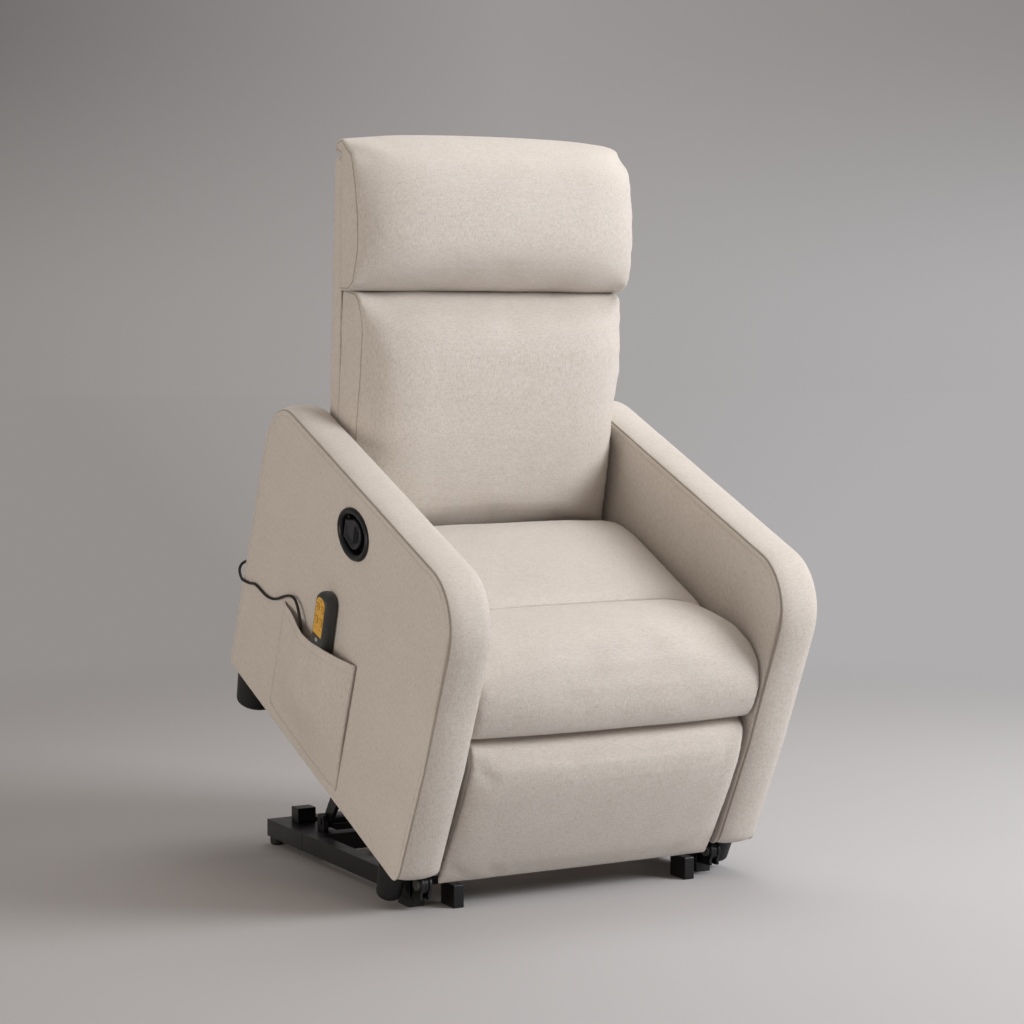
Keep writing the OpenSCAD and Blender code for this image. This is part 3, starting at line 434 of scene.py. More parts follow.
@dataclass(frozen=True)
class StrapWeave:
    """Elastic upholstery webbing with a ribbed weave."""

    name: str = "strap_weave"

    def build(self) -> bpy.types.Material:
        """Return the webbing's material."""
        g = Coat(self.name, {"Specular IOR Level": 0.2})
        spot = g.place(CHAIR)
        x, y, z = (wire.sine() for wire in g.parts(g.stretched(spot, (2200.0,) * 3)))
        ribs = x * y + y * z + z * x
        dust = g.noise(spot, 300.0, 2.0)
        g.feed("Base Color", g.mix(dust * 0.6 + ribs * 0.15, srgb(62, 60, 56), srgb(112, 108, 100)))
        g.feed("Roughness", dust * 0.2 + 0.75)
        g.feed("Normal", g.relief(ribs, 0.0004, 0.5))
        return g.material


@dataclass(frozen=True)
class KeypadFilm:
    """The handset's yellow key film with plain printed dashes and rings."""

    name: str = "keypad_film"

    def build(self) -> bpy.types.Material:
        """Return the film's material."""
        g = Coat(self.name, {"Specular IOR Level": 0.5})
        spot = g.place(HANDSET)
        _, across, up = g.parts(g.stretched(spot, (1000.0,) * 3))
        column = abs(across) - 8.5
        row = abs(up + 38.5) - 11.5
        wide = abs(column)
        bar = wide.below(2.7) * abs(row).below(0.55)
        stem = wide.below(0.55) * abs(row).below(2.7) * up.above(-38.5)
        ring_at = column * column + row * row
        ring = ring_at.below(53.0) * ring_at.above(42.0)
        foot = wide.below(3.4) * abs(up + 64.0).below(0.6)
        head = abs(across).below(5.0) * abs(up + 14.5).below(0.6)
        marks = bar.most(stem).most(ring).most(foot).most(head)
        grime = g.noise(spot, 180.0, 3.0)
        base = g.mix(grime, srgb(214, 160, 52), srgb(234, 184, 78))
        g.feed("Base Color", g.mix(marks * 0.85, base, srgb(70, 48, 16)))
        g.feed("Roughness", grime * 0.2 + 0.38)
        g.feed("Normal", g.relief(grime, 0.0001, 0.3))
        return g.material


@dataclass(frozen=True)
class Backdrop:
    """The studio's plain backdrop: a soft gradient of painted light by direction, lighter on the
    right.
    """

    right: tuple[float, float, float] = (0.88006, -0.47486, 0.0)
    # Painted light: the backdrop's colours level and up high, from left to right, darkest on the
    # left and up high.
    level: tuple[tuple[float, float, float, float], ...] = (
        srgb(147, 143, 141), srgb(165, 162, 161), srgb(175, 173, 174))
    high: tuple[tuple[float, float, float, float], ...] = (
        srgb(115, 111, 110), srgb(154, 150, 149), srgb(142, 138, 137))

    def colour(self, graph: Graph, direction: Wire) -> Wire:
        """Return the backdrop's painted light for a unit direction."""
        across = graph.dot(direction, self.right) * 2.5 + 0.5
        _, _, up = graph.parts(direction)
        level, high = (graph.ramp(across, (0.0, row[0]), (0.5, row[1]), (1.0, row[2]))
                       for row in (self.level, self.high))
        return graph.mix(graph.between(up, 0.0, 0.14), level, high)

    def floor(self) -> bpy.types.Material:
        """Return the floor's paint, with painted shade towards the left, which runs out into the
        backdrop.
        """
        g = Coat("studio_floor", {"Roughness": 0.85, "Specular IOR Level": 0.08})
        spot = g.place(Matrix.Identity(4))
        # Painted shade: the floor darkens towards the left, where the key lamp's shadow falls.
        painted_shade_fade = g.between(g.dot(spot, self.right), -2.6, 1.8)
        g.feed("Base Color", g.mix(painted_shade_fade, srgb(168, 165, 164), srgb(196, 195, 197)))
        seen = g.node("ShaderNodeVectorMath", {"operation": "NORMALIZE"}, {0: spot})
        share = g.between(g.dot(spot, spot), 1.2, 10.0)
        # The far floor glows with the backdrop's painted light, though it is no lamp.
        glow = g.node("ShaderNodeEmission", {}, {"Color": self.colour(g, seen)})
        both = g.node("ShaderNodeMixShader", {}, {0: share, 1: Wire(g, g.shader.outputs[0]),
                                                  2: glow})
        g.tree.links.new(both.socket, g.output.inputs[0])
        return g.material

    def room(self, strength: float) -> bpy.types.World:
        """Return the world: soft room light, with the backdrop for what looks at it."""
        world = bpy.data.worlds.new("studio")
        world.use_nodes = True
        g = Graph(world.node_tree)
        path = g.node("ShaderNodeLightPath", {}, {}, "Is Camera Ray")
        kinds = [Wire(g, path.socket.node.outputs[kind])
                 for kind in ("Is Glossy Ray", "Is Transmission Ray")]
        looked_at = path.most(kinds[0]).most(kinds[1])
        seen = g.node("ShaderNodeTexCoord", {}, {}, "Generated")
        backdrop = g.node("ShaderNodeBackground", {}, {"Color": self.colour(g, seen)})
        light = g.node("ShaderNodeBackground", {}, {
            "Color": (1.0, 0.89, 0.80, 1.0), "Strength": strength})
        both = g.node("ShaderNodeMixShader", {}, {0: looked_at, 1: light, 2: backdrop})
        output = g.tree.nodes.new("ShaderNodeOutputWorld")
        g.tree.links.new(both.socket, output.inputs[0])
        return world


class Finishes:
    """Every finish of the chair, built once."""

    def __init__(self) -> None:
        """Build the materials."""
        self.chair_cloth = LinenCloth(CHAIR, "linen_cloth").build()
        self.back_cloth = LinenCloth(BACK, "linen_cloth_back").build()
        self.thread = SatinCoat("sewing_thread", srgb(186, 174, 160), srgb(204, 194, 182),
                                0.8, 2500.0).build()
        self.lever = SatinCoat("lever_plastic", srgb(20, 20, 22), srgb(34, 35, 37), 0.38,
                               1500.0, 0.00015).build()
        self.paddle = SatinCoat("paddle_plastic", srgb(27, 28, 31), srgb(42, 44, 48), 0.34,
                                1200.0, 0.00015).build()
        self.window = SatinCoat("window_plastic", srgb(176, 174, 164), srgb(204, 202, 194), 0.3,
                                1500.0, 0.00015).build()
        self.by_slot = {
            Slot.BLACK_STEEL: SatinCoat("satin_black_steel", srgb(15, 15, 16),
                                        srgb(27, 27, 29), 0.36, 700.0).build(),
            Slot.ZINC_STEEL: DrawnZinc().build(),
            Slot.BEIGE_CLOTH: self.chair_cloth,
            Slot.PLYWOOD: BirchPly().build(),
            Slot.BLACK_PLASTIC: SatinCoat("moulded_black", srgb(22, 22, 23), srgb(36, 36, 38),
                                          0.5, 1800.0).build(),
            Slot.GREY_PLASTIC: SatinCoat("handset_grey", srgb(58, 61, 60), srgb(76, 79, 78),
                                         0.44, 1600.0).build(),
            Slot.YELLOW_FILM: KeypadFilm().build(),
            Slot.STRAP_WEBBING: StrapWeave().build(),
            Slot.CORD_RUBBER: SatinCoat("cord_rubber", srgb(34, 31, 29), srgb(58, 54, 50),
                                        0.62, 1400.0).build(),
        }


# ------------------------------------------------------------------ mesh helpers


def settle(name: str, bm: bmesh.types.BMesh, place: Matrix, material: bpy.types.Material,
           body: Body, slot: Slot, nodes: Sequence[str] = ()) -> bpy.types.Object:
    """Make a finished mesh a piece of the chair.

    Args:
        name: The piece's name.
        bm: The mesh, in millimetres of its own frame. It is freed.
        place: Its own frame in the chair's rest place.
        material: Its finish.
        body: The body that it rides on.
        slot: The material slot that it stands for; not used.
        nodes: The CAD nodes that it replaces.

    Returns:
        The new object.
    """
    bmesh.ops.transform(bm, matrix=place @ Matrix.Scale(MM, 4), verts=bm.verts)
    mesh = bpy.data.meshes.new(name)
    bm.to_mesh(mesh)
    bm.free()
    mesh.materials.append(material)
    mesh.shade_smooth()
    piece = bpy.data.objects.new(name, mesh)
    bpy.context.scene.collection.objects.link(piece)
    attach(piece, body.value)
    if nodes:
        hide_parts(*nodes)
    log.info("%s: %d faces", name, len(mesh.polygons))
    return piece


def set_levels(piece: bpy.types.Object, levels: int) -> None:
    """Give a piece a Subdivision Surface modifier."""
    modifier = piece.modifiers.new("Subdivision", "SUBSURF")
    modifier.levels = modifier.render_levels = levels


def arc(centre: tuple[float, float], radius: float, start: float, end: float,
        steps: int) -> list[tuple[float, float]]:
    """Return points on an arc, angles in degrees."""
    angles = [math.radians(start + (end - start) * k / steps) for k in range(steps + 1)]
    return [(centre[0] + radius * math.cos(a), centre[1] + radius * math.sin(a)) for a in angles]


def flowing(points: Sequence[tuple[float, float, float]], steps: int) -> list[Vector]:
    """Return a smooth line through points, each stretch cut into steps."""
    last = len(points) - 1
    line = [Vector(p) for p in points]
    smooth = []
    for i in range(last):
        a, b, c, d = (line[min(max(i + k, 0), last)] for k in (-1, 0, 1, 2))
        for k in range(steps):
            t = k / steps
            smooth.append(0.5 * (2 * b + (c - a) * t + (2 * a - 5 * b + 4 * c - d) * t * t
                                 + (3 * b - a - 3 * c + d) * t * t * t))
    return smooth + [line[last]]


class Outline:
    """A closed line of evenly spaced points, counter-clockwise, with outward normals."""

    def __init__(self, corners: Sequence[tuple[float, float]], count: int) -> None:
        """Space points evenly along the corners' line.

        Args:
            corners: The corners in order, counter-clockwise.
            count: The number of points.
        """
        ring = np.array(list(corners) + [corners[0]], float)
        steps = np.linalg.norm(np.diff(ring, axis=0), axis=1)
        run = np.concatenate([[0.0], np.cumsum(steps)])
        self.length = float(run[-1])
        at = np.linspace(0.0, self.length, count, endpoint=False)
        self.points = np.stack([np.interp(at, run, ring[:, k]) for k in range(2)], axis=1)
        ahead = np.roll(self.points, -1, axis=0) - np.roll(self.points, 1, axis=0)
        ahead /= np.linalg.norm(ahead, axis=1)[:, None]
        self.normals = np.stack([ahead[:, 1], -ahead[:, 0]], axis=1)
        self.low, self.high = self.points.min(0), self.points.max(0)
        self.boxed = False
        self.count = count

    def moved(self, place: tuple[float, float], degrees: float) -> None:
        """Turn the line a little about the origin and move it, its box with it.

        Args:
            place: Where the origin goes.
            degrees: A small turn, because the normals stay as they are.
        """
        turn = math.radians(degrees)
        turned_points = self.points @ np.array([[math.cos(turn), math.sin(turn)],
                                                [-math.sin(turn), math.cos(turn)]])
        self.points = turned_points + np.array(place)
        self.low, self.high = self.points.min(0), self.points.max(0)

    @classmethod
    def ellipse(cls, centre: tuple[float, float], half: tuple[float, float],
                count: int) -> "Outline":
        """Return an ellipse."""
        turn = [2 * math.pi * k / 180 for k in range(180)]
        return cls([(centre[0] + half[0] * math.cos(a), centre[1] + half[1] * math.sin(a))
                    for a in turn], count)

    @classmethod
    def rounded(cls, low: tuple[float, float], high: tuple[float, float], top: float,
                bottom: float, count: int) -> "Outline":
        """Return an upright rectangle with rounded top and bottom corners."""
        made = cls(arc((high[0] - bottom, low[1] + bottom), bottom, 270, 360, 8)
                   + arc((high[0] - top, high[1] - top), top, 0, 90, 8)
                   + arc((low[0] + top, high[1] - top), top, 90, 180, 8)
                   + arc((low[0] + bottom, low[1] + bottom), bottom, 180, 270, 8), count)
        made.boxed = True
        return made

    def at(self, station: int, inset: float) -> tuple[float, float]:
        """Return the point of a station, moved inwards, and within a rectangle's inner box."""
        p = self.points[station] - self.normals[station] * inset
        if self.boxed and inset > 0.0:
            p = np.clip(p, self.low + inset, self.high - inset)
        return float(p[0]), float(p[1])


@dataclass(frozen=True)
class Ring:
    """One ring of a shell: how far inside its outline and how far along its axis."""

    inset: float
    depth: float


def rings_from(face: float, *rows: tuple[float, float]) -> list[Ring]:
    """Return rings from insets and depths, the depths counted from a face."""
    return [Ring(inset, face + depth) for inset, depth in rows]


class Shell:
    """A closed form grown ring by ring round an outline, with its axis along X."""

    def __init__(self, outline: Outline) -> None:
        """Start an empty shell round an outline."""
        self.outline = outline
        self.bm = bmesh.new()
        self.station = self.bm.verts.layers.int.new("station")

    def loop(self, outline: Outline, ring: Ring,
             shape: Optional[Callable[[int, Ring], Vector]] = None) -> list[bmesh.types.BMEdge]:
        """Add a separate loop of edges for a ring, as in grow."""
        made = bmesh.ops.create_circle(self.bm, segments=outline.count, radius=1.0)["verts"]
        for number, vertex in enumerate(made):
            vertex[self.station] = number
            vertex.co = (shape(number, ring) if shape
                         else (ring.depth, *outline.at(number, ring.inset)))
        new = set(made)
        return [e for e in self.bm.edges if e.verts[0] in new and e.verts[1] in new]

    def grow(self, edges: Sequence[bmesh.types.BMEdge], outline: Outline, rings: Sequence[Ring],
             shape: Optional[Callable[[int, Ring], Vector]] = None) -> list[bmesh.types.BMEdge]:
        """Extrude a loop through rings.

        Args:
            edges: The loop to start from.
            outline: The outline that the rings are offset from.
            rings: The rings in order.
            shape: Gives a point for a station and ring instead of the plain offset.

        Returns:
            The last loop of edges.
        """
        for ring in rings:
            made = bmesh.ops.extrude_edge_only(self.bm, edges=edges)["geom"]
            new = {g for g in made if isinstance(g, bmesh.types.BMVert)}
            for vertex in new:
                number = vertex[self.station]
                vertex.co = (shape(number, ring) if shape
                             else (ring.depth, *outline.at(number, ring.inset)))
            edges = [g for g in made if isinstance(g, bmesh.types.BMEdge)
                     and g.verts[0] in new and g.verts[1] in new]
        return edges

    def close(self, edges: Sequence[bmesh.types.BMEdge],
              holes: Sequence[bmesh.types.BMEdge] = ()) -> None:
        """Merge a flat loop's doubles and fill it, round the loops of any holes in it."""
        ring = {v for e in edges for v in e.verts}
        ordered = [v for v in self.bm.verts if v in ring]
        bmesh.ops.remove_doubles(self.bm, verts=ordered, dist=0.01)
        rim = [e for e in self.bm.edges
               if e.verts[0] in ring and e.verts[1] in ring and len(e.link_faces) < 2]
        bmesh.ops.triangle_fill(self.bm, use_beauty=True, edges=[*rim, *holes])

    def solid(self, rings: Sequence[Ring],
              shape: Optional[Callable[[int, Ring], Vector]] = None) -> None:
        """Grow a form through rings from one filled end to the other."""
        start = self.loop(self.outline, rings[0], shape)
        end = self.grow(start, self.outline, rings[1:], shape)
        self.close(start)
        self.close(end)

    def finish(self, mirrored: bool = False) -> bmesh.types.BMesh:
        """Return the mesh with its faces outwards, mirrored across X if asked."""
        if mirrored:
            bmesh.ops.scale(self.bm, vec=(-1.0, 1.0, 1.0), verts=self.bm.verts)
        bmesh.ops.remove_doubles(self.bm, verts=self.bm.verts, dist=0.005)
        bmesh.ops.recalc_face_normals(self.bm, faces=self.bm.faces)
        return self.bm


@dataclass(frozen=True)
class StitchRow:
    """A row of stitches along a line, each a small capsule lying on the cloth."""

    pitch: float = 5.4
    length: float = 3.7
    width: float = 0.95
    proud: float = 0.45

    def sew(self, rows: Sequence[tuple[Sequence[Vector], Vector]]) -> bmesh.types.BMesh:
        """Return a mesh of all the stitches of some rows.

        Args:
            rows: Each row's points in millimetres and its cloth's outward direction.

        Returns:
            The mesh, in the rows' frame.
        """
        places = [place for line, outward in rows for place in self.places(line, outward)]
        bm = bmesh.new()
        number = bm.verts.layers.int.new("number")
        bmesh.ops.create_uvsphere(bm, u_segments=6, v_segments=4, radius=1.0)
        count = 1
        while count < len(places):
            spare = [v for v in bm.verts if v[number] < len(places) - count]
            chosen = set(spare)
            geometry = [*spare, *(e for e in bm.edges if e.verts[0] in chosen),
                        *(f for f in bm.faces if f.verts[0] in chosen)]
            for item in bmesh.ops.duplicate(bm, geom=geometry)["geom"]:
                if isinstance(item, bmesh.types.BMVert):
                    item[number] += count
            count *= 2
        for vertex in bm.verts:
            vertex.co = places[vertex[number]] @ vertex.co
        return bm

    def places(self, line: Sequence[Vector], outward: Vector) -> list[Matrix]:
        """Return where each stitch of a row lies."""
        points = np.array([tuple(p) for p in line], float)
        run = np.concatenate([[0.0], np.cumsum(np.linalg.norm(np.diff(points, axis=0), axis=1))])
        size = Matrix.Diagonal((self.length / 2, self.width / 2, self.proud, 1.0))
        made = []
        for number in range(int(run[-1] / self.pitch)):
            here, ahead = (Vector([float(np.interp(d, run, points[:, k])) for k in range(3)])
                           for d in (number * self.pitch, number * self.pitch + self.length))
            along = (ahead - here).normalized()
            across = outward.cross(along).normalized()
            turn = Matrix((along, across, along.cross(across))).transposed().to_4x4()
            made.append(Matrix.Translation((here + ahead) / 2) @ turn @ size)
        return made


# ------------------------------------------------------------------ arms


@dataclass
class Arm:
    """A padded arm: two flat sides, a crowned band round them and stitched seams."""

    side: Side
    finishes: Finishes
    length: float = 754.0
    height: float = 537.0
    nose: float = 25.0
    crown: float = 9.0
    seam_inset: float = 8.6
    stations: int = 312
    lean: float = 18.0
    lean_top: float = 220.0
    foot: float = 22.0
    front_round: float = 95.0
    rear_round: float = 89.0
    easing: float = 10.0
    lever: tuple[float, float] = (347.0, 457.0)
    lever_hole: tuple[float, float] = (55.0, 38.0)
    lever_tilt: float = -6.0
    outline: Outline = field(init=False)

    def __post_init__(self) -> None:
        """Lay out the arm's side."""
        rear = (self.length - self.rear_round - self.easing, self.height - self.rear_round)
        front = (self.front_round - self.nose, self.height - self.front_round - self.easing)
        corners = (arc((self.foot, self.foot), self.foot, 185, 270, 8) + [(self.length, 0.0)]
                   + arc(rear, self.rear_round, 0, 90, 14)
                   + arc(front, self.front_round, 91, 180, 16)
                   + [(-self.lean, self.lean_top)])
        self.outline = Outline(corners, self.stations)

    def swell(self, depth: float) -> float:
        """Return how full the band is at a place across the arm."""
        share = abs(2.0 * (depth - INNER_X) / (OUTER_X - INNER_X) - 1.0)
        return max(0.0, 1.0 - min(1.0, share) ** 2.7)

    def spot(self, number: int, ring: Ring) -> Vector:
        """Return the place of a station on a ring, flat below and rounded at the front foot."""
        level = self.outline.points[number][1]
        full = smoothstep(0.0, 26.0, level)
        inset = ring.inset if ring.inset > 0.0 else ring.inset * full
        y, z = self.outline.at(number, inset)
        if ring.inset > 0.0:
            z = max(z, inset)
            front = inset - min(z, self.lean_top) * self.lean / self.lean_top
            y = min(max(y, front), self.length - inset)
        else:
            pinch = 1.0 - self.swell(ring.depth)
            z += 6.0 * pinch * (1.0 - smoothstep(0.0, 40.0, z)) * (1.0 - smoothstep(20.0, 110.0, y))
        ripple = noise.noise(Vector((ring.depth * 0.011, y * 0.011, z * 0.011)))
        pull = noise.noise(Vector((ring.depth * 0.02, y * 0.06, z * 0.06)))
        fullness = self.swell(ring.depth) * full if ring.inset < 0.0 else 0.0
        grown = fullness * (1.3 * ripple + 0.5 * pull)
        y, z = (y + grown * float(self.outline.normals[number][0]),
                z + grown * float(self.outline.normals[number][1]))
        return Vector((ring.depth, y, max(z, 0.0)))

    def side_rings(self, face: float, outward: float) -> list[Ring]:
        """Return the rings of one flat side, from its middle to its seam."""
        rows = ((18.0, 0.05), (15.0, 0.05), (self.seam_inset + 3.0, 0.05),
                (self.seam_inset + 1.1, -0.2), (self.seam_inset, -0.6),
                (self.seam_inset - 1.1, -0.2), (5.8, 0.1), (3.2, 0.0), (1.5, -0.5), (0.6, -1.3),
                (0.0, -2.4))
        return [Ring(inset, face + outward * off) for inset, off in rows]

    def band_rings(self) -> list[Ring]:
        """Return the rings of the band, from the inner seam to the outer one."""
        places = (3.0, 4.2, 6.0, 9.0, 13.0, 18.0, 25.0, 33.0, 42.0, 50.0, 57.0, 62.0, 66.0, 69.0,
                  70.8, 72.0)
        return [Ring(-self.crown * self.swell(INNER_X + at) - 0.05, INNER_X + at)
                for at in places]

    def cover(self) -> bpy.types.Object:
        """Build the arm's cloth."""
        shell = Shell(self.outline)
        inner = self.side_rings(INNER_X + 0.15, -1.0)
        outer = self.side_rings(OUTER_X - 0.1, 1.0)
        start = shell.loop(self.outline, inner[0], self.spot)
        end = shell.grow(start, self.outline,
                         inner[1:] + self.band_rings() + outer[::-1], self.spot)
        shell.close(start)
        if self.side is Side.LEFT:
            hole = Outline.ellipse((0.0, 0.0), self.lever_hole, 64)
            hole.moved(self.lever, self.lever_tilt)
            face = outer[0].depth
            rim = shell.loop(hole, Ring(0.0, face))
            shell.close(end, rim)
            shell.grow(rim, hole, rings_from(face, (2.0, 0.0), (4.0, -0.2), (5.0, -6.0),
                                             (5.0, -12.0)))
        else:
            shell.close(end)
        word = self.side.name.lower()
        bm = shell.finish(self.side is Side.LEFT)
        piece = settle(f"{word}_arm_cover", bm, CHAIR, self.finishes.chair_cloth, Body.CHAIR,
                       Slot.BEIGE_CLOTH, (f"{word}_arm_panel", f"{word}_arm_pad"))
        mark_seams(piece, self.seam_at(local_points(piece, CHAIR)))
        set_levels(piece, 1)
        return piece

    def seam_at(self, points: np.ndarray) -> np.ndarray:
        """Return signed millimetres from the band's seams, for points of the chair."""
        x = np.abs(points[:, 0])
        middle = (INNER_X + OUTER_X) / 2.0
        half = (OUTER_X - INNER_X) / 2.0 - 2.4
        return half - np.abs(x - middle)

    def stitches(self) -> bpy.types.Object:
        """Build the topstitching beside both seams."""
        points = [k for k in range(self.stations) if self.outline.points[k][1] > 9.0]
        bm = StitchRow().sew([
            ([Vector((face * self.side.value, *self.outline.at(k, self.seam_inset)))
              for k in points], Vector((outward * self.side.value, 0.0, 0.0)))
            for face, outward in ((INNER_X + 0.4, -1.0), (OUTER_X - 0.45, 1.0))])
        return settle(f"{self.side.name.lower()}_arm_stitching", bm, CHAIR, self.finishes.thread,
                      Body.CHAIR, Slot.BEIGE_CLOTH)

    def build(self) -> None:
        """Build and dress the arm."""
        self.cover()
        self.stitches()


# ------------------------------------------------------------------ cushions


def mark_seams(piece: bpy.types.Object, away: np.ndarray) -> None:
    """Store each vertex's signed millimetres from the nearest seam, for the cloth's bump and the
    painted shade in its creases.
    """
    layer = piece.data.attributes.new("seam", "FLOAT", "POINT")
    value = np.clip(1.0 + away / SEAM_REACH, 0.0, 2.0)
    layer.data.foreach_set("value", value.astype(np.float32))


def local_points(piece: bpy.types.Object, frame: Matrix) -> np.ndarray:
    """Return a piece's vertices in millimetres of a frame."""
    co = np.empty(len(piece.data.vertices) * 3, np.float32)
    piece.data.vertices.foreach_get("co", co)
    seen = np.array(frame.inverted())
    return (co.reshape(-1, 3).astype(float) @ seen[:3, :3].T + seen[:3, 3]) / MM


def put_points(piece: bpy.types.Object, frame: Matrix, points: np.ndarray) -> None:
    """Set a piece's vertices from millimetres of a frame."""
    place = np.array(frame)
    co = (points * MM) @ place[:3, :3].T + place[:3, 3]
    piece.data.vertices.foreach_set("co", co.astype(np.float32).ravel())
    piece.data.update()


def inside_depth(points: np.ndarray, corners: Sequence[tuple[float, float]]) -> np.ndarray:
    """Return how far 2-D points lie inside a closed line, negative outside it."""
    ring = np.array(list(corners) + [corners[0]], float)
    nearest = np.full(len(points), 1e9)
    inside = np.zeros(len(points), bool)
    for a, b in zip(ring[:-1], ring[1:]):
        edge = b - a
        t = np.clip(((points - a) @ edge) / (edge @ edge), 0.0, 1.0)
        nearest = np.minimum(nearest, np.linalg.norm(points - (a + t[:, None] * edge), axis=1))
        if a[1] != b[1]:
            crosses = (a[1] > points[:, 1]) != (b[1] > points[:, 1])
            inside ^= crosses & (points[:, 0] < edge[0] * (points[:, 1] - a[1]) / edge[1] + a[0])
    return np.where(inside, nearest, -nearest)


@dataclass
class Cushion:
    """A foam cushion under cloth: swollen by a cloth simulation and kept to its room."""

    name: str
    nodes: tuple[str, ...]
    frame: Matrix
    body: Body
    cloth: bpy.types.Material
    held: Callable[[np.ndarray], np.ndarray]
    room: Callable[[np.ndarray], np.ndarray]
    seams: Callable[[np.ndarray], np.ndarray]
    voxel: float = 6.0
    shrink: float = 4.0
    pressure: float = 4.0
    cap: float = 24.0
    ease: int = 6
    slack: float = -0.01
    pucker: float = 1.2
    valley: float = 2.4
    crown: float = 0.0
    side_roll: float = 120.0
    foot_roll: float = 80.0
    top_roll: float = 60.0
    flat: float = 14.0
    fade: float = 30.0
    even: int = 14
    keep: float = 30.0
    pucker_reach: float = 18.0
    valley_reach: float = 6.0
    stretch: Callable[[np.ndarray], np.ndarray] = np.copy
    fill: float = 0.8
    piece: Optional[bpy.types.Object] = None
    start: Optional[np.ndarray] = None
    full: Optional[np.ndarray] = None
    away: Optional[np.ndarray] = None

    def prepare(self, frame_nodes: dict[str, bpy.types.Object]) -> None:
        """Copy the CAD solids, shrink them a little and remesh them evenly."""
        bm = bmesh.new()
        for node in self.nodes:
            bm.from_mesh(frame_nodes[node].data)
        bmesh.ops.remove_doubles(bm, verts=bm.verts, dist=0.00002)
        mesh = bpy.data.meshes.new(self.name)
        bm.to_mesh(mesh)
        bm.free()
        self.piece = bpy.data.objects.new(self.name, mesh)
        bpy.context.scene.collection.objects.link(self.piece)
        points = local_points(self.piece, self.frame)
        low, high = points.min(0), points.max(0)
        middle, half = (low + high) / 2, (high - low) / 2
        put_points(self.piece, self.frame, middle + (points - middle) * (half - self.shrink) / half)
        remesh = self.piece.modifiers.new("Remesh", "REMESH")
        remesh.mode = "VOXEL"
        remesh.voxel_size = self.voxel * MM
        self.bake()
        self.start = local_points(self.piece, self.frame)
        self.full = middle + (self.start - middle) * half / (half - self.shrink)
        self.away = self.seams(self.full)
        pins = self.piece.vertex_groups.new(name="held")
        for number in np.flatnonzero(self.held(self.start)):
            pins.add([int(number)], 1.0, "REPLACE")

    def bake(self) -> None:
        """Apply what the piece's modifiers make of it."""
        graph = bpy.context.evaluated_depsgraph_get()
        made = bpy.data.meshes.new_from_object(self.piece.evaluated_get(graph),
                                               preserve_all_data_layers=True, depsgraph=graph)
        self.piece.modifiers.clear()
        self.piece.data = made

    def swell(self) -> None:
        """Add the cloth simulation that fills the cushion."""
        cloth = self.piece.modifiers.new("Cloth", "CLOTH")
        s = cloth.settings
        s.quality = 4
        s.mass = 0.3
        s.tension_stiffness = s.compression_stiffness = 12.0
        s.shear_stiffness = 6.0
        s.bending_stiffness = 0.8
        s.use_pressure = True
        s.uniform_pressure_force = self.pressure
        s.shrink_min = self.slack
        s.vertex_group_mass = "held"
        s.effector_weights.gravity = 0.0
        cloth.collision_settings.use_collision = False
        cloth.point_cache.frame_start = 1
        cloth.point_cache.frame_end = SETTLE_FRAMES

    def shape(self) -> None:
        """Cap and even out the swelling, crown the front and pucker the seams, within its room."""
        moved = local_points(self.piece, self.frame) - self.start
        far = np.maximum(np.linalg.norm(moved, axis=1), 1e-6)
        moved *= (self.cap * np.tanh(far / self.cap) / far)[:, None]
        points = self.full + self.smoothed(moved, self.ease)
        low, high = points.min(0), points.max(0)
        share = np.clip(np.abs(self.away) / self.keep, 0.0, 1.0)[:, None]
        points += (self.smoothed(points, self.even) - points) * share
        points = low + (points - points.min(0)) * (high - low) / np.ptp(points, axis=0)
        points = self.room(self.stretch(points))
        far, low, high = self.full[:, 1].max(), self.full.min(0), self.full.max(0)
        rise = 1.0
        for share in ((high[0] - np.abs(self.full[:, 0])) / self.side_roll,
                      (self.full[:, 2] - low[2]) / self.foot_roll,
                      (high[2] - self.full[:, 2]) / self.top_roll):
            rise = rise * (1.0 - (1.0 - np.clip(share, 0.0, 1.0)) ** 2)
        front = np.clip((far - self.flat - self.full[:, 1]) / self.fade, 0, 1)
        points[:, 1] -= self.crown * rise * front
        middle = points.mean(0)
        near = np.exp(-np.abs(self.away) / self.pucker_reach) * self.pucker
        dip = np.exp(-(self.away / self.valley_reach) ** 2) * self.valley
        for number in np.flatnonzero(near > 0.08):
            aim = points[number] - middle
            spot = Vector(points[number] * 0.045)
            push = noise.noise(spot) + 0.5 * noise.noise(spot * 2.3)
            points[number] += aim / np.linalg.norm(aim) * (push * near[number] - dip[number])
        put_points(self.piece, self.frame, self.room(points))

    def smoothed(self, values: np.ndarray, rounds: int) -> np.ndarray:
        """Return values of the vertices, evened out with those of their neighbours."""
        mesh = self.piece.data
        edges = np.empty(len(mesh.edges) * 2, np.int32)
        mesh.edges.foreach_get("vertices", edges)
        first, second = edges.reshape(-1, 2).T
        count = np.bincount(edges, minlength=len(values))[:, None]
        for _ in range(rounds):
            total = np.zeros_like(values)
            np.add.at(total, first, values[second])
            np.add.at(total, second, values[first])
            values = 0.4 * values + 0.6 * total / count
        return values

    def dress(self) -> bpy.types.Object:
        """Finish the piece: smooth mesh, seams, cloth and body."""
        self.piece.vertex_groups.clear()
        mesh = self.piece.data
        mesh.materials.clear()
        mesh.materials.append(self.cloth)
        mesh.shade_smooth()
        mark_seams(self.piece, self.away)
        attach(self.piece, self.body.value)
        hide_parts(*self.nodes)
        set_levels(self.piece, 1)
        log.info("%s: %d faces", self.name, len(mesh.polygons))
        return self.piece


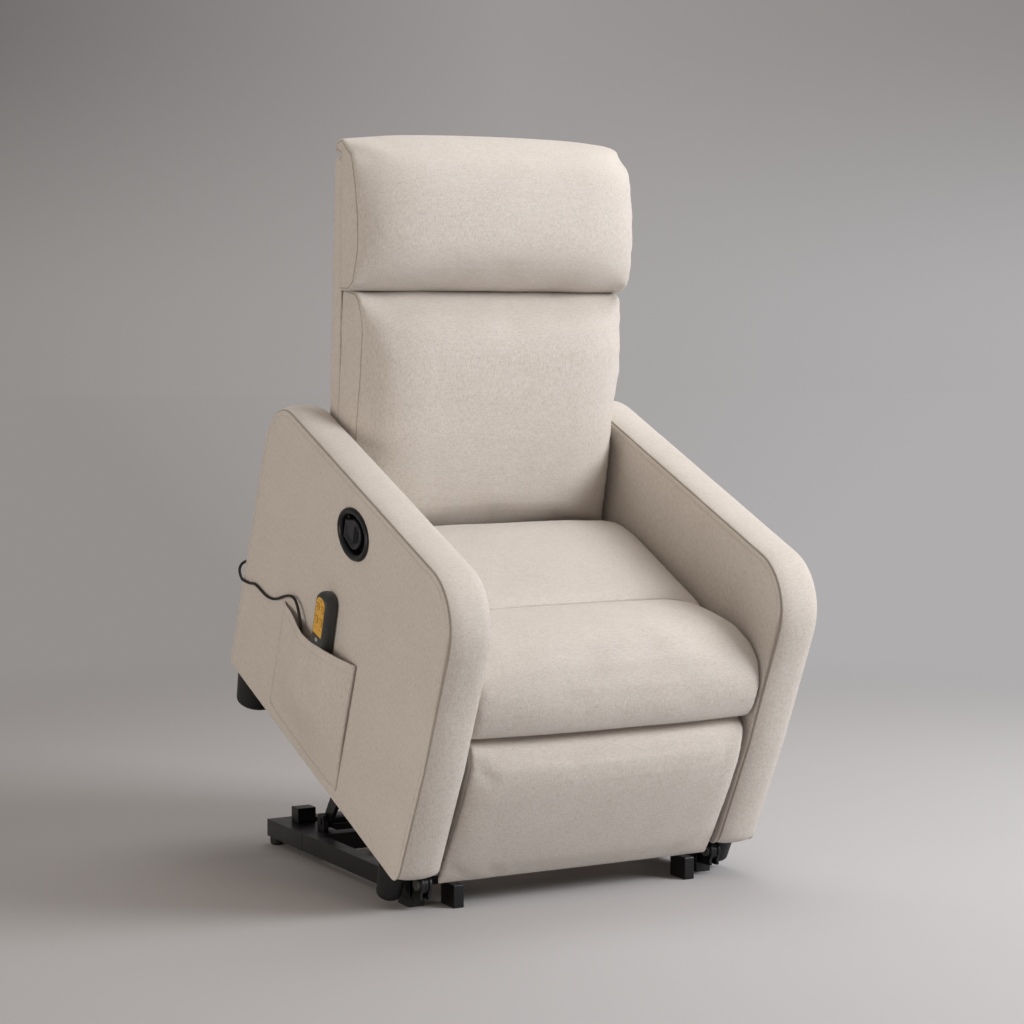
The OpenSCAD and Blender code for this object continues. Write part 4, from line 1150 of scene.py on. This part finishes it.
def gusset(points: np.ndarray, face: Sequence[tuple[float, float]], half: float,
           inset: float) -> np.ndarray:
    """Return signed distances from the seam round a cushion's side.

    Args:
        points: Points of the cushion as cut, in millimetres.
        face: The outline of its side.
        half: Half its width.
        inset: How far inside the outline the seam runs.

    Returns:
        Millimetres from the seam, positive on the side face.
    """
    return inside_depth(points[:, 1:], face) - (half - np.abs(points[:, 0])) - inset


@dataclass
class Upholstery:
    """The five loose-looking cushions of the chair."""

    finishes: Finishes
    nodes: dict[str, bpy.types.Object]
    notch_y: float = 202.5
    seam_y: float = 172.5
    seam_gap: float = 0.3
    seam_lip: float = 1.1
    seam_pull: float = 90.0
    seat_half: float = 264.6
    rail_top: float = 252.3
    board_top: float = 260.0
    seat_rear: float = 531.0
    arm_line: float = 262.0
    back_half: float = 264.4
    pan_face: float = -30.3
    head_line: float = 463.0
    head_half: float = 281.0
    back_face: tuple[tuple[float, float], ...] = (
        (-30.0, 26.0), (-30.0, 461.0), (-78.0, 461.0), (-95.0, 452.0), (-104.0, 425.0),
        (-108.0, 362.0), (-105.0, 300.0), (-96.0, 220.0), (-86.0, 150.0), (-76.0, 84.0),
        (-66.0, 40.0), (-58.0, 26.0))
    head_face: tuple[tuple[float, float], ...] = (
        (-30.0, 465.0), (-30.0, 690.0), (0.0, 693.0), (-2.0, 708.0), (-20.0, 717.0),
        (-48.0, 714.0), (-75.0, 698.0), (-93.0, 675.0), (-105.0, 645.0), (-113.0, 600.0),
        (-116.0, 555.0), (-112.0, 508.0), (-101.0, 476.0), (-82.0, 465.0))
    legrest_face: tuple[tuple[float, float], ...] = (
        (20.0, -14.0), (20.0, 255.0), (-4.0, 255.0), (-14.0, 244.0), (-20.0, 219.0),
        (-20.0, 190.0), (-17.0, 160.0), (-9.0, 105.0), (4.0, 25.0), (10.0, -4.0), (14.0, -14.0))

    def seat(self) -> Cushion:
        """Return the seat and its front roll as one form, cut apart later."""
        def room(p: np.ndarray) -> np.ndarray:
            """Keep the seat between the arms, on its rails and ahead of the back."""
            p[:, 0] = np.clip(p[:, 0], -self.seat_half, self.seat_half)
            p[:, 2] = np.maximum(p[:, 2], np.where(p[:, 1] > 200.0, self.rail_top, self.board_top))
            p[:, 1] = np.minimum(p[:, 1], self.seat_rear)
            return p

        def stretch(p: np.ndarray) -> np.ndarray:
            """Draw the cover forward to its cross seam."""
            pull = self.notch_y - self.seam_y
            p[:, 1] -= pull * np.exp(-((p[:, 1] - self.notch_y) / self.seam_pull) ** 2)
            return p
        return Cushion(
            "seat_cover", ("seat_cushion", "front_roll"), CHAIR, Body.CHAIR,
            self.finishes.chair_cloth, lambda p: (p[:, 2] < 268.0) | (p[:, 1] > 518.0), room,
            lambda p: p[:, 1] - self.notch_y, voxel=7.0, cap=10.0, ease=16, pucker=0.4,
            valley=0.9, even=6, keep=0.1, stretch=stretch)

    def lower_back(self) -> Cushion:
        """Return the lower back cushion."""
        def room(p: np.ndarray) -> np.ndarray:
            """Keep the cushion between the arms, below the head and ahead of its frame."""
            wide = self.back_half + 9.0 * np.clip((p[:, 2] - self.arm_line) / 50.0, 0.0, 1.0)
            p[:, 0] = np.clip(p[:, 0], -wide, wide)
            p[:, 1] = np.minimum(p[:, 1], self.pan_face)
            p[:, 2] = np.minimum(p[:, 2], self.head_line + 2.0)
            return p

        def stretch(p: np.ndarray) -> np.ndarray:
            """Let the cushion spread above the arms and fill up to the head."""
            above = np.clip((p[:, 2] - self.arm_line) / 60.0, 0.0, 1.0)
            p[:, 0] += p[:, 0] * 0.01 * above + 4.0 * above
            p[:, 2] += 5.0 * np.clip((p[:, 2] - 400.0) / 60.0, 0.0, 1.0)
            return p
        return Cushion(
            "back_cover", ("back_cushion",), BACK, Body.BACK, self.finishes.back_cloth,
            lambda p: (p[:, 1] > -40.0), room,
            lambda p: gusset(p, self.back_face, 262.5, 3.0), cap=14.0, crown=20.0,
            foot_roll=220.0, stretch=stretch)

    def head(self) -> Cushion:
        """Return the head cushion."""
        def room(p: np.ndarray) -> np.ndarray:
            """Keep the cushion above the back's line and off the frame it laps over."""
            side = self.head_half - 18.0 * np.clip((p[:, 1] + 80.0) / 50.0, 0.0, 1.0)
            p[:, 0] = np.clip(p[:, 0], -side, side + 4.0)
            p[:, 2] = np.maximum(p[:, 2], self.head_line - 3.0)
            behind = (p[:, 1] > self.pan_face) & (p[:, 2] < 692.0)
            high = behind & (p[:, 2] > 684.0)
            p[high, 2] = 692.0
            low = behind & ~high
            p[low, 1] = self.pan_face
            return p

        def stretch(p: np.ndarray) -> np.ndarray:
            """Let the cushion rest on the one below it."""
            p[:, 0] += p[:, 0] * 0.004 + 3.0
            p[:, 2] -= 5.0 * np.clip((525.0 - p[:, 2]) / 60.0, 0.0, 1.0)
            return p
        return Cushion(
            "head_cover", ("head_cushion",), BACK, Body.BACK, self.finishes.back_cloth,
            lambda p: (p[:, 1] > -40.0) & (p[:, 2] < 686.0), room,
            lambda p: gusset(p, self.head_face, 271.5, 3.0), cap=15.0, crown=17.0,
            stretch=stretch)

    def legrest(self) -> Cushion:
        """Return the legrest's padded front."""
        def room(p: np.ndarray) -> np.ndarray:
            """Keep the pad on its board, between the arms and below the roll."""
            p[:, 0] = np.clip(p[:, 0], -261.5, 261.5)
            p[:, 1] = np.minimum(p[:, 1], 19.7)
            p[:, 2] = np.clip(p[:, 2], -16.0, 257.5)
            return p
        return Cushion(
            "legrest_cover", ("legrest_pad",), CHAIR, Body.LEGREST, self.finishes.chair_cloth,
            lambda p: p[:, 1] > 10.0, room,
            lambda p: gusset(p, self.legrest_face, 257.0, 6.0), voxel=5.0, shrink=2.5,
            cap=4.5, ease=8, pressure=3.0, pucker=0.5, valley=1.0, even=2, keep=20.0)

    def part_seat(self, seat: Cushion) -> None:
        """Cut the seat's form at its cross seam into the seat cushion and the front roll."""
        normal = CHAIR.to_3x3() @ Vector((0.0, 1.0, 0.0))
        whole = seat.piece.data.copy()
        for name, node, keep in (("seat_cover", "seat_cushion", 1.0),
                                 ("roll_cover", "front_roll", -1.0)):
            bm = bmesh.new()
            bm.from_mesh(whole)
            spot = CHAIR @ Vector((0.0, (self.seam_y + keep * self.seam_gap) * MM, 0.3))
            bmesh.ops.bisect_plane(bm, geom=bm.verts[:] + bm.edges[:] + bm.faces[:],
                                   plane_co=spot, plane_no=normal * -keep, clear_outer=True)
            rim = [e for e in bm.edges if e.is_boundary]
            bmesh.ops.triangle_fill(bm, use_beauty=True, edges=rim)
            mesh = bpy.data.meshes.new(name)
            bm.to_mesh(mesh)
            bm.free()
            piece = seat.piece if keep > 0 else bpy.data.objects.new(name, mesh)
            piece.data = mesh
            if keep < 0:
                bpy.context.scene.collection.objects.link(piece)
            # seam_lip moves the painted crease shade off the cut, so it is weaker at this seam.
            away = local_points(piece, CHAIR)[:, 1] - self.seam_y + keep * self.seam_lip
            replace(seat, name=name, nodes=(node,), piece=piece, away=away).dress()

    def build(self) -> None:
        """Simulate all the cushions together and dress them."""
        seat = self.seat()
        others = [self.lower_back(), self.head(), self.legrest()]
        for cushion in [seat, *others]:
            cushion.prepare(self.nodes)
            cushion.swell()
        for number in range(1, SETTLE_FRAMES + 1):
            bpy.context.scene.frame_set(number)
        for cushion in [seat, *others]:
            cushion.bake()
        bpy.context.scene.frame_set(1)
        for cushion in [seat, *others]:
            cushion.shape()
        for cushion in others:
            cushion.dress()
        self.part_seat(seat)


# ------------------------------------------------------------------ covered boards


@dataclass
class CoveredBoards:
    """The rear apron below the seat and the cover on the back's rear."""

    finishes: Finishes

    def board(self, name: str, node: str, frame: Matrix, body: Body, outline: Outline,
              rings: Sequence[Ring], cloth: bpy.types.Material,
              shape: Optional[Callable[[int, Ring], Vector]] = None) -> bpy.types.Object:
        """Build one cloth-covered board whose axis is Y."""
        shell = Shell(outline)
        shell.solid(rings, shape)
        bmesh.ops.transform(shell.bm, matrix=SWAP_XY, verts=shell.bm.verts)
        piece = settle(name, shell.finish(), frame, cloth, body, Slot.BEIGE_CLOTH, (node,))
        mark_seams(piece, inside_depth(local_points(piece, frame)[:, [0, 2]],
                                       outline.points[::4].tolist()) - SEAM_ROW)
        return piece

    def stitches(self, name: str, frame: Matrix, body: Body, outline: Outline,
                 face: float) -> None:
        """Sew a row round a board's rear face."""
        row = [outline.at(k, SEAM_ROW) for k in range(outline.count)]
        line = [Vector((x, face, z)) for x, z in row]
        bm = StitchRow().sew([(line, Vector((0.0, 1.0, 0.0)))])
        settle(name, bm, frame, self.finishes.thread, body, Slot.BEIGE_CLOTH)

    def build(self) -> None:
        """Build both boards."""
        apron = Outline.rounded((-264.9, 34.0), (264.9, 320.0), 9.0, 9.0, 240)
        rings = rings_from(
            0.0, (40.0, 724.4), (8.0, 724.0), (1.5, 724.2), (0.0, 726.0), (0.0, 733.0),
            (1.2, 735.2), (4.0, 736.0), (9.0, 736.3), (12.0, 735.9), (13.0, 735.0), (14.0, 735.9),
            (19.0, 736.6), (34.0, 737.2), (60.0, 737.6))
        self.board("rear_apron_cover", "rear_apron", CHAIR, Body.CHAIR, apron, rings,
                   self.finishes.chair_cloth)
        self.stitches("rear_apron_stitching", CHAIR, Body.CHAIR, apron, 735.3)
        panel = Outline.rounded((-262.3, 28.0), (262.3, 688.0), 10.0, 8.0, 320)

        def wrapped(number: int, ring: Ring) -> Vector:
            """Keep the pan's front edge high at the sides and let it run out at the bottom."""
            x, z = panel.at(number, ring.inset)
            above = smoothstep(262.0, 322.0, z)  # clear of the arms
            x += (0.012 * x + 3.0) * above
            side = smoothstep(28.0, 70.0, z)
            front = -7.7 + (ring.depth + 7.7) * side if ring.depth < -7.7 else ring.depth
            return Vector((front, x, z))
        rings = rings_from(
            0.0, (44.0, -7.6), (8.0, -7.7), (3.8, -8.2), (3.5, -12.0), (3.5, -37.4), (3.0, -38.0),
            (0.6, -38.0), (0.0, -37.2), (0.0, -8.4), (0.0, -4.0), (1.2, -1.2), (4.0, 0.0),
            (9.0, 0.4), (12.0, 0.0), (13.0, -0.9), (14.0, 0.0), (19.0, 0.8), (34.0, 1.7),
            (60.0, 2.4), (110.0, 2.9))
        self.board("back_panel_cover", "back_panel", BACK, Body.BACK, panel, rings,
                   self.finishes.back_cloth, wrapped)
        self.stitches("back_panel_stitching", BACK, Body.BACK, panel, -0.5)


# ------------------------------------------------------------------ release lever


@dataclass
class ReleaseLever:
    """The oval surround with its finger cup and the paddle that hinges in it."""

    finishes: Finishes
    half_length: float = 59.5
    half_height: float = 42.5
    face: float = 340.0
    pin_y: float = 31.5
    pin_x: float = -334.0

    def surround(self) -> None:
        """Build the flared rim and the cup behind it."""
        outline = Outline.ellipse((0.0, 0.0), (self.half_length, self.half_height), 96)
        shell = Shell(outline)
        face = self.face
        rings = rings_from(
            face, (12.0, -23.2), (9.6, -22.4), (9.4, -20.0), (9.4, -0.2), (2.0, -0.2), (0.0, 0.0),
            (0.1, 1.6), (1.2, 3.6), (3.2, 4.7), (5.6, 4.9), (8.2, 4.2), (10.2, 2.9), (11.4, 0.8),
            (12.0, -3.0), (12.3, -12.0), (13.2, -17.6), (16.5, -20.2))

        def flare(number: int, ring: Ring) -> Vector:
            """Lift the rim's front and lower edge and its upper rear lip."""
            y, z = outline.at(number, ring.inset)
            angle = math.atan2(z / self.half_height, y / self.half_length)
            lift = 0.5 + 0.5 * math.cos(2.0 * (angle - math.radians(225.0)))
            rise = smoothstep(face, face + 4.9, ring.depth) * (1.1 * lift - 0.4)
            return Vector((ring.depth + rise, y, z))
        shell.solid(rings, flare)
        bm = shell.finish(True)
        up = Matrix.Translation((self.pin_x, self.pin_y, 0.0))
        bmesh.ops.create_cone(bm, cap_ends=True, segments=20, radius1=2.0, radius2=2.0,
                              depth=44.0, matrix=up)
        for z in (-20.0, 20.0):
            post = bmesh.ops.create_cube(bm, size=1.0, matrix=Matrix.Translation(
                (self.pin_x + 5.0, self.pin_y, z)) @ Matrix.Diagonal((18.0, 8.0, 4.0, 1.0)))
            edges = list({e for v in post["verts"] for e in v.link_edges})
            bmesh.ops.bevel(bm, geom=edges, offset=0.8, segments=2, profile=0.5, material=-1,
                            affect="EDGES")
        piece = settle("lever_surround_rim", bm, LEVER, self.finishes.lever, Body.CHAIR,
                       Slot.BLACK_PLASTIC, ("lever_surround",))
        crisp(piece, 0.5)

    def paddle(self) -> None:
        """Build the dished paddle with its hinge barrel."""
        corners = ([(35.5, -16.0), (35.5, 16.0), (26.0, 17.0)]
                   + [(27.5 * math.cos(math.radians(a)) - 1.0, 25.0 * math.sin(math.radians(a)))
                      for a in range(75, 286, 10)] + [(26.0, -17.0)])
        outline = Outline(corners, 80)
        shell = Shell(outline)
        shell.solid(rings_from(
            0.0, (3.0, 335.0), (0.6, 335.2), (0.0, 336.4), (0.0, 339.2), (0.5, 340.8), (1.8, 341.8),
            (3.6, 341.9), (5.4, 341.2), (8.0, 340.2), (11.0, 339.6), (13.0, 339.4)))
        bm = shell.finish(True)
        bmesh.ops.create_cone(bm, cap_ends=True, segments=28, radius1=4.9, radius2=4.9, depth=33.6,
                              matrix=Matrix.Translation((self.pin_x, self.pin_y, 0.0)))
        for number in range(4):
            bmesh.ops.create_uvsphere(
                bm, u_segments=16, v_segments=8, radius=1.0,
                matrix=Matrix.Translation((-340.0, -15.0 + number * 5.0, 0.0))
                @ Matrix.Diagonal((1.1, 1.0, 12.0 + number * 1.4, 1.0)))
        piece = settle("lever_paddle_cover", bm, LEVER, self.finishes.paddle, Body.LEVER,
                       Slot.BLACK_PLASTIC, ("lever_paddle",))
        crisp(piece, 0.35)

    def build(self) -> None:
        """Build the surround and the paddle."""
        self.surround()
        self.paddle()


def crisp(piece: bpy.types.Object, width: float) -> None:
    """Round a hard piece's sharp edges a little.

    Args:
        piece: The piece.
        width: The width of the rounding in millimetres.
    """
    bevel = piece.modifiers.new("Bevel", "BEVEL")
    bevel.width = width * MM
    bevel.segments = 2
    bevel.limit_method = "ANGLE"
    bevel.angle_limit = math.radians(38.0)
    bevel.harden_normals = False
    piece.modifiers.new("Normals", "WEIGHTED_NORMAL").keep_sharp = True


# ------------------------------------------------------------------ pocket


@dataclass
class SidePocket:
    """The open pocket of cloth that is sewn to the left arm's panel."""

    finishes: Finishes
    front: float = 257.0
    rear: float = 561.0
    bottom: float = 23.0
    columns: int = 96
    rows: int = 72
    hem: float = 17.0
    flat_width: float = 0.330
    bulge: tuple[tuple[float, float], ...] = (
        (0.0, 2.2), (0.03, 8.0), (0.12, 17.0), (0.26, 24.4), (0.42, 24.7), (0.55, 24.4),
        (0.68, 20.0), (0.82, 12.0), (0.92, 6.0), (0.97, 3.4), (1.0, 0.6))
    mouth: tuple[tuple[float, float], ...] = (
        (0.0, 260.5), (0.06, 259.0), (0.15, 254.5), (0.24, 250.0), (0.34, 243.5), (0.42, 237.5),
        (0.5, 233.0), (0.58, 230.5), (0.74, 231.0), (0.88, 228.5), (0.95, 226.5), (1.0, 225.5))

    def spot(self, across: float, up: float) -> Vector:
        """Return a place on the pocket for shares of its width and height."""
        knots = np.array(self.bulge)
        top = float(np.interp(across, *np.array(self.mouth).T))
        y = self.front + (self.rear - self.front) * across
        z = self.bottom + (top - self.bottom) * up
        rise = smoothstep(0.0, 0.5, up)
        stand = float(np.interp(across, knots[:, 0], knots[:, 1]))
        flat = float(np.interp(across, knots[:, 0], knots[:, 1] * 0.16))
        out = flat + (stand - flat) * rise
        out += 0.5 * rise * noise.noise(Vector((y * 0.03, z * 0.02, 0.0)))
        out += 2.0 * up * math.exp(-((across - 0.93) / 0.05) ** 2)
        below = (1.0 - up) * (top - self.bottom)
        out += 0.4 * (1.0 - smoothstep(self.hem - 1.2, self.hem + 1.2, below))
        return Vector((-OUTER_X - max(out, 0.5), y, z))

    def build(self) -> None:
        """Build the pocket, its hem and its stitching."""
        bm = bmesh.new()
        bmesh.ops.create_grid(bm, x_segments=self.columns, y_segments=self.rows, size=0.5)
        for vertex in bm.verts:
            across, up = vertex.co.x + 0.5, vertex.co.y + 0.5
            vertex.co = self.spot(across, up)
        bm.normal_update()
        if sum(f.normal.x for f in bm.faces) > 0.0:
            bmesh.ops.reverse_faces(bm, faces=bm.faces)
        area = sum(face.calc_area() for face in bm.faces) * MM * MM
        piece = settle("side_pocket_cloth", bm, CHAIR, self.finishes.chair_cloth, Body.CHAIR,
                       Slot.BEIGE_CLOTH, ("side_pocket",))
        # Painted shadow: the crease shade sits along the pocket's front edge, as the shadow of the
        # edge standing off the panel.
        mark_seams(piece, local_points(piece, CHAIR)[:, 1] - self.front - 0.8)
        thick = piece.modifiers.new("Cloth_thickness", "SOLIDIFY")
        thick.thickness = 1.6 * MM
        thick.offset = -1.0
        stitching = self.stitches()
        width = self.flat_width
        area / width

    def stitches(self) -> bpy.types.Object:
        """Sew the hem and the three closed edges."""
        hem = [self.spot(k / 80, 1.0 - self.hem * 0.86 / 205.0) for k in range(2, 79)]
        edge = ([self.spot(0.012, 1.0 - k / 50) for k in range(50)]
                + [self.spot(0.012 + 0.976 * k / 60, 0.02) for k in range(61)]
                + [self.spot(0.988, k / 50) for k in range(50)])
        bm = StitchRow(4.6, 3.2, 0.85, 0.4).sew([
            ([p + Vector((-0.2, 0.0, 0.0)) for p in line], Vector((-1.0, 0.0, 0.0)))
            for line in (hem, edge)])
        return settle("side_pocket_stitching", bm, CHAIR, self.finishes.thread, Body.CHAIR,
                      Slot.BEIGE_CLOTH)


# ------------------------------------------------------------------ handset and its cord


@dataclass
class Handset:
    """The corded control: a rounded shell with a key recess, button wells and a window."""

    finishes: Finishes
    width: float = 49.0
    length: float = 170.0
    inner: float = 341.0
    outer: float = 363.0
    well: float = 5.9
    button_y: float = 8.5
    button_z: tuple[float, float] = (-27.0, -50.0)

    def shell(self) -> None:
        """Build the shell with its recess, button wells and cord relief."""
        half = self.width / 2
        outline = Outline.rounded((-half, -self.length), (half, 0.0), 20.0, 14.0, 120)
        keypad = Outline.rounded((-17.5, -76.0), (17.5, -9.0), 12.0, 2.0, 80)
        shell = Shell(outline)
        rings = rings_from(
            self.inner, (7.0, 0.0), (3.0, 0.4), (0.9, 2.2), (0.0, 5.6), (0.0, 11.0), (0.5, 14.6),
            (1.8, 18.0), (3.4, 20.2), (4.6, 21.2))
        rings += rings_from(self.outer, (5.6, -0.35), (7.0, -0.05))
        start = shell.loop(outline, rings[0])
        end = shell.grow(start, outline, rings[1:])
        shell.close(start)
        lip = shell.loop(keypad, Ring(0.0, self.outer - 0.05))
        shell.close(end, lip)
        floor = shell.grow(lip, keypad, rings_from(self.outer, (0.1, -0.5), (0.1, -1.0)))
        wells = []
        for y in (-self.button_y, self.button_y):
            for z in self.button_z:
                well = Outline.ellipse((y, z), (self.well, self.well), 28)
                wells.append((well, shell.loop(well, Ring(0.0, self.outer - 1.0))))
        shell.close(floor, [e for _, edges in wells for e in edges])
        for well, edges in wells:
            shell.close(shell.grow(edges, well, [Ring(0.0, self.outer - 5.0)]))
        bm = shell.finish(True)
        self.relief(bm)
        piece = settle("handset_case", bm, HANDSET, self.finishes.by_slot[Slot.GREY_PLASTIC],
                       Body.CHAIR, Slot.GREY_PLASTIC, ("handset_shell",))
        crisp(piece, 0.3)

    def relief(self, bm: bmesh.types.BMesh) -> None:
        """Add the ribbed cord relief below the shell."""
        middle = -(self.inner + self.outer) / 2
        bottom = -self.length
        down = Matrix.Translation((middle, 0.0, bottom - 7.5))
        bmesh.ops.create_cone(bm, cap_ends=True, segments=24, radius1=3.3, radius2=5.4, depth=17.0,
                              matrix=down)
        for number in range(4):
            bmesh.ops.create_cone(
                bm, cap_ends=True, segments=24, radius1=4.6 - number * 0.35,
                radius2=5.0 - number * 0.35, depth=1.6,
                matrix=Matrix.Translation((middle, 0.0, bottom - 3.0 - number * 3.4)))

    def window(self) -> None:
        """Build the small pale window below the key film."""
        outline = Outline.rounded((-4.5, -87.0), (4.5, -81.0), 1.6, 1.6, 32)
        shell = Shell(outline)
        shell.solid(rings_from(self.outer, (0.0, -0.6), (0.0, 0.1), (0.4, 0.3)))
        settle("handset_window", shell.finish(True), HANDSET, self.finishes.window, Body.CHAIR,
               Slot.GREY_PLASTIC)

    def build(self) -> None:
        """Build the shell and its window."""
        self.shell()
        self.window()


@dataclass
class HandsetCord:
    """The thin cord from the rear apron round the arm and down into the pocket."""

    finishes: Finishes
    radius: float = 2.5
    route: tuple[tuple[float, float, float], ...] = (
        (-236, 736, 196), (-236, 752, 196), (-244, 764, 198), (-262, 769, 202),
        (-290, 769.5, 206), (-316, 768.5, 204), (-337, 765, 198), (-344, 761, 189),
        (-345, 753, 181), (-345, 741, 177), (-344, 729, 179), (-343.5, 712, 184),
        (-343, 686, 194), (-343, 640, 197), (-343, 612, 204), (-343, 588, 216),
        (-343.5, 560, 235), (-345, 536, 248), (-347, 512, 254), (-349, 490, 248),
        (-351, 468, 232), (-352, 450, 208), (-352, 436, 176), (-352, 428, 140),
        (-352, 418, 108), (-352, 402, 86), (-352, 383, 78), (-352, 368, 87),
        (-352, 365, 109), (-352, 366.6, 127), (-352, 368, 147.5))

    def build(self) -> bpy.types.Object:
        line = [CHAIR @ (point * MM) for point in flowing(self.route, 4)]
        curve = bpy.data.curves.new("handset_lead", "CURVE")
        curve.dimensions = "3D"
        curve.bevel_depth = self.radius * MM
        curve.bevel_resolution = 3
        curve.use_fill_caps = True
        spline = curve.splines.new("POLY")
        spline.points.add(len(line) - 1)
        for point, place in zip(spline.points, line):
            point.co = (*place, 1.0)
        curve.materials.append(self.finishes.by_slot[Slot.CORD_RUBBER])
        piece = bpy.data.objects.new("handset_lead", curve)
        bpy.context.scene.collection.objects.link(piece)
        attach(piece, Body.CHAIR.value)
        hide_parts("handset_cord")
        length = sum((b - a).length for a, b in zip(line, line[1:]))
        tuple(line[0])
        log.info("handset_lead: %.3f m", length)
        return piece


# ------------------------------------------------------------------ frame finishes


@dataclass
class HardParts:
    """The CAD nodes that stay as they are, with finishes and softened edges."""

    finishes: Finishes
    nodes: dict[str, bpy.types.Object]
    steel: tuple[str, ...] = (
        "floor_side_tubes", "floor_end_tubes", "floor_cross_tubes", "floor_front_legs",
        "stop_blocks", "floor_brackets", "lift_rails", "lift_cross_tube", "lift_cam_plates",
        "drive_clevis", "drive_tube", "lift_arms", "lift_arm_shaft", "back_brackets",
        "legrest_mounts", "legrest_rear_links", "legrest_front_links")
    zinc: tuple[str, ...] = ("floor_pins", "drive_rod", "drive_rod_pin")
    timber: tuple[str, ...] = (
        "left_arm_core", "right_arm_core", "seat_side_rails", "seat_cross_rails", "roll_board",
        "back_uprights", "back_cross_rails", "legrest_board")
    plastic: tuple[str, ...] = (
        "floor_glides", "drive_gearbox", "drive_motor", "lift_rollers", "control_box",
        "front_feet", "rear_feet", "massage_motors")
    cable: tuple[str, ...] = ("release_cable",)
    film: tuple[str, ...] = ("handset_keypad", "upper_front_button", "upper_rear_button",
                             "lower_front_button", "lower_rear_button")
    straps: tuple[str, ...] = ("seat_straps", "back_straps")

    def build(self) -> None:
        """Give every shown CAD node its finish."""
        for names, slot, width in ((self.steel, Slot.BLACK_STEEL, 1.2),
                                   (self.zinc, Slot.ZINC_STEEL, 0.5),
                                   (self.timber, Slot.PLYWOOD, 0.0),
                                   (self.cable, Slot.BLACK_PLASTIC, 0.0),
                                   (self.plastic, Slot.BLACK_PLASTIC, 0.8),
                                   (self.film, Slot.YELLOW_FILM, 0.25),
                                   (self.straps, Slot.STRAP_WEBBING, 0.3)):
            for name in names:
                node = self.nodes[name]
                node.data.materials.clear()
                node.data.materials.append(self.finishes.by_slot[slot])
                if width > 0.0:
                    weld = node.modifiers.new("Weld", "WELD")
                    weld.merge_threshold = 0.00001
                    crisp(node, width)
        log.info("frame nodes dressed")


# ------------------------------------------------------------------ studio


@dataclass
class Studio:
    """Camera, floor, backdrop and lamps."""

    azimuth: float = 28.3486
    pitch: float = 3.9124
    roll: float = -0.1998
    eye: tuple[float, float, float] = (-2.0158, -3.7801, 0.9156)
    lens: float = 87.2

    def camera(self) -> None:
        """Place the camera."""
        a, p, r = (math.radians(v) for v in (self.azimuth, self.pitch, self.roll))
        level = Vector((math.sin(a), math.cos(a), 0.0))
        right = Vector((math.cos(a), -math.sin(a), 0.0))
        top = Vector((0.0, 0.0, 1.0))
        ahead = level * math.cos(p) - top * math.sin(p)
        up = level * math.sin(p) + top * math.cos(p)
        across = right * math.cos(r) + up * math.sin(r)
        over = up * math.cos(r) - right * math.sin(r)
        data = bpy.data.cameras.new("camera")
        data.lens = self.lens
        data.sensor_width = 36.0
        data.clip_end = 60.0
        camera = bpy.data.objects.new("camera", data)
        turn = Matrix((across, over, -ahead)).transposed().to_4x4()
        camera.matrix_world = Matrix.Translation(self.eye) @ turn
        bpy.context.scene.collection.objects.link(camera)
        bpy.context.scene.camera = camera

    def floor(self) -> None:
        """Lay the floor."""
        bm = bmesh.new()
        bmesh.ops.create_circle(bm, cap_ends=True, segments=96, radius=40.0)
        mesh = bpy.data.meshes.new("studio_floor")
        bm.to_mesh(mesh)
        bm.free()
        mesh.materials.append(Backdrop().floor())
        floor = bpy.data.objects.new("studio_floor", mesh)
        bpy.context.scene.collection.objects.link(floor)

    def lamp(self, name: str, place: tuple[float, float, float], size: float,
             power: float, colour: tuple[float, float, float]) -> None:
        """Add a square soft lamp aimed at the middle of the chair."""
        data = bpy.data.lights.new(name, "AREA")
        data.shape = "SQUARE"
        data.size = size
        data.energy = power
        data.color = colour
        lamp = bpy.data.objects.new(name, data)
        turn = (Vector((0.0, 0.0, 0.6)) - Vector(place)).to_track_quat("-Z", "Y")
        lamp.matrix_world = Matrix.Translation(place) @ turn.to_matrix().to_4x4()
        bpy.context.scene.collection.objects.link(lamp)

    def light(self) -> None:
        """Light the studio."""
        bpy.context.scene.world = Backdrop().room(0.32)
        self.lamp("key_lamp", (3.1, -2.9, 2.5), 2.2, 200.0, (0.97, 0.985, 1.0))
        self.lamp("top_lamp", (0.8, 0.4, 3.6), 2.4, 38.0, (1.0, 1.0, 1.0))
        self.lamp("fill_lamp", (-4.4, -0.5, 0.8), 1.8, 56.0, (1.0, 0.92, 0.84))
        bpy.context.scene.view_settings.view_transform = "Standard"


def main() -> None:
    """Build the chair's pieces in order."""
    logging.basicConfig(level=logging.INFO, format="%(message)s")
    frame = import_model()
    studio = Studio()
    studio.camera()
    finishes = Finishes()
    HandsetCord(finishes).build()
    studio.floor()
    studio.light()
    HardParts(finishes, frame["nodes"]).build()
    Arm(Side.LEFT, finishes).build()
    Arm(Side.RIGHT, finishes).build()
    Upholstery(finishes, frame["nodes"]).build()
    CoveredBoards(finishes).build()
    ReleaseLever(finishes).build()
    SidePocket(finishes).build()
    Handset(finishes).build()


if __name__ == "__main__":
    main()
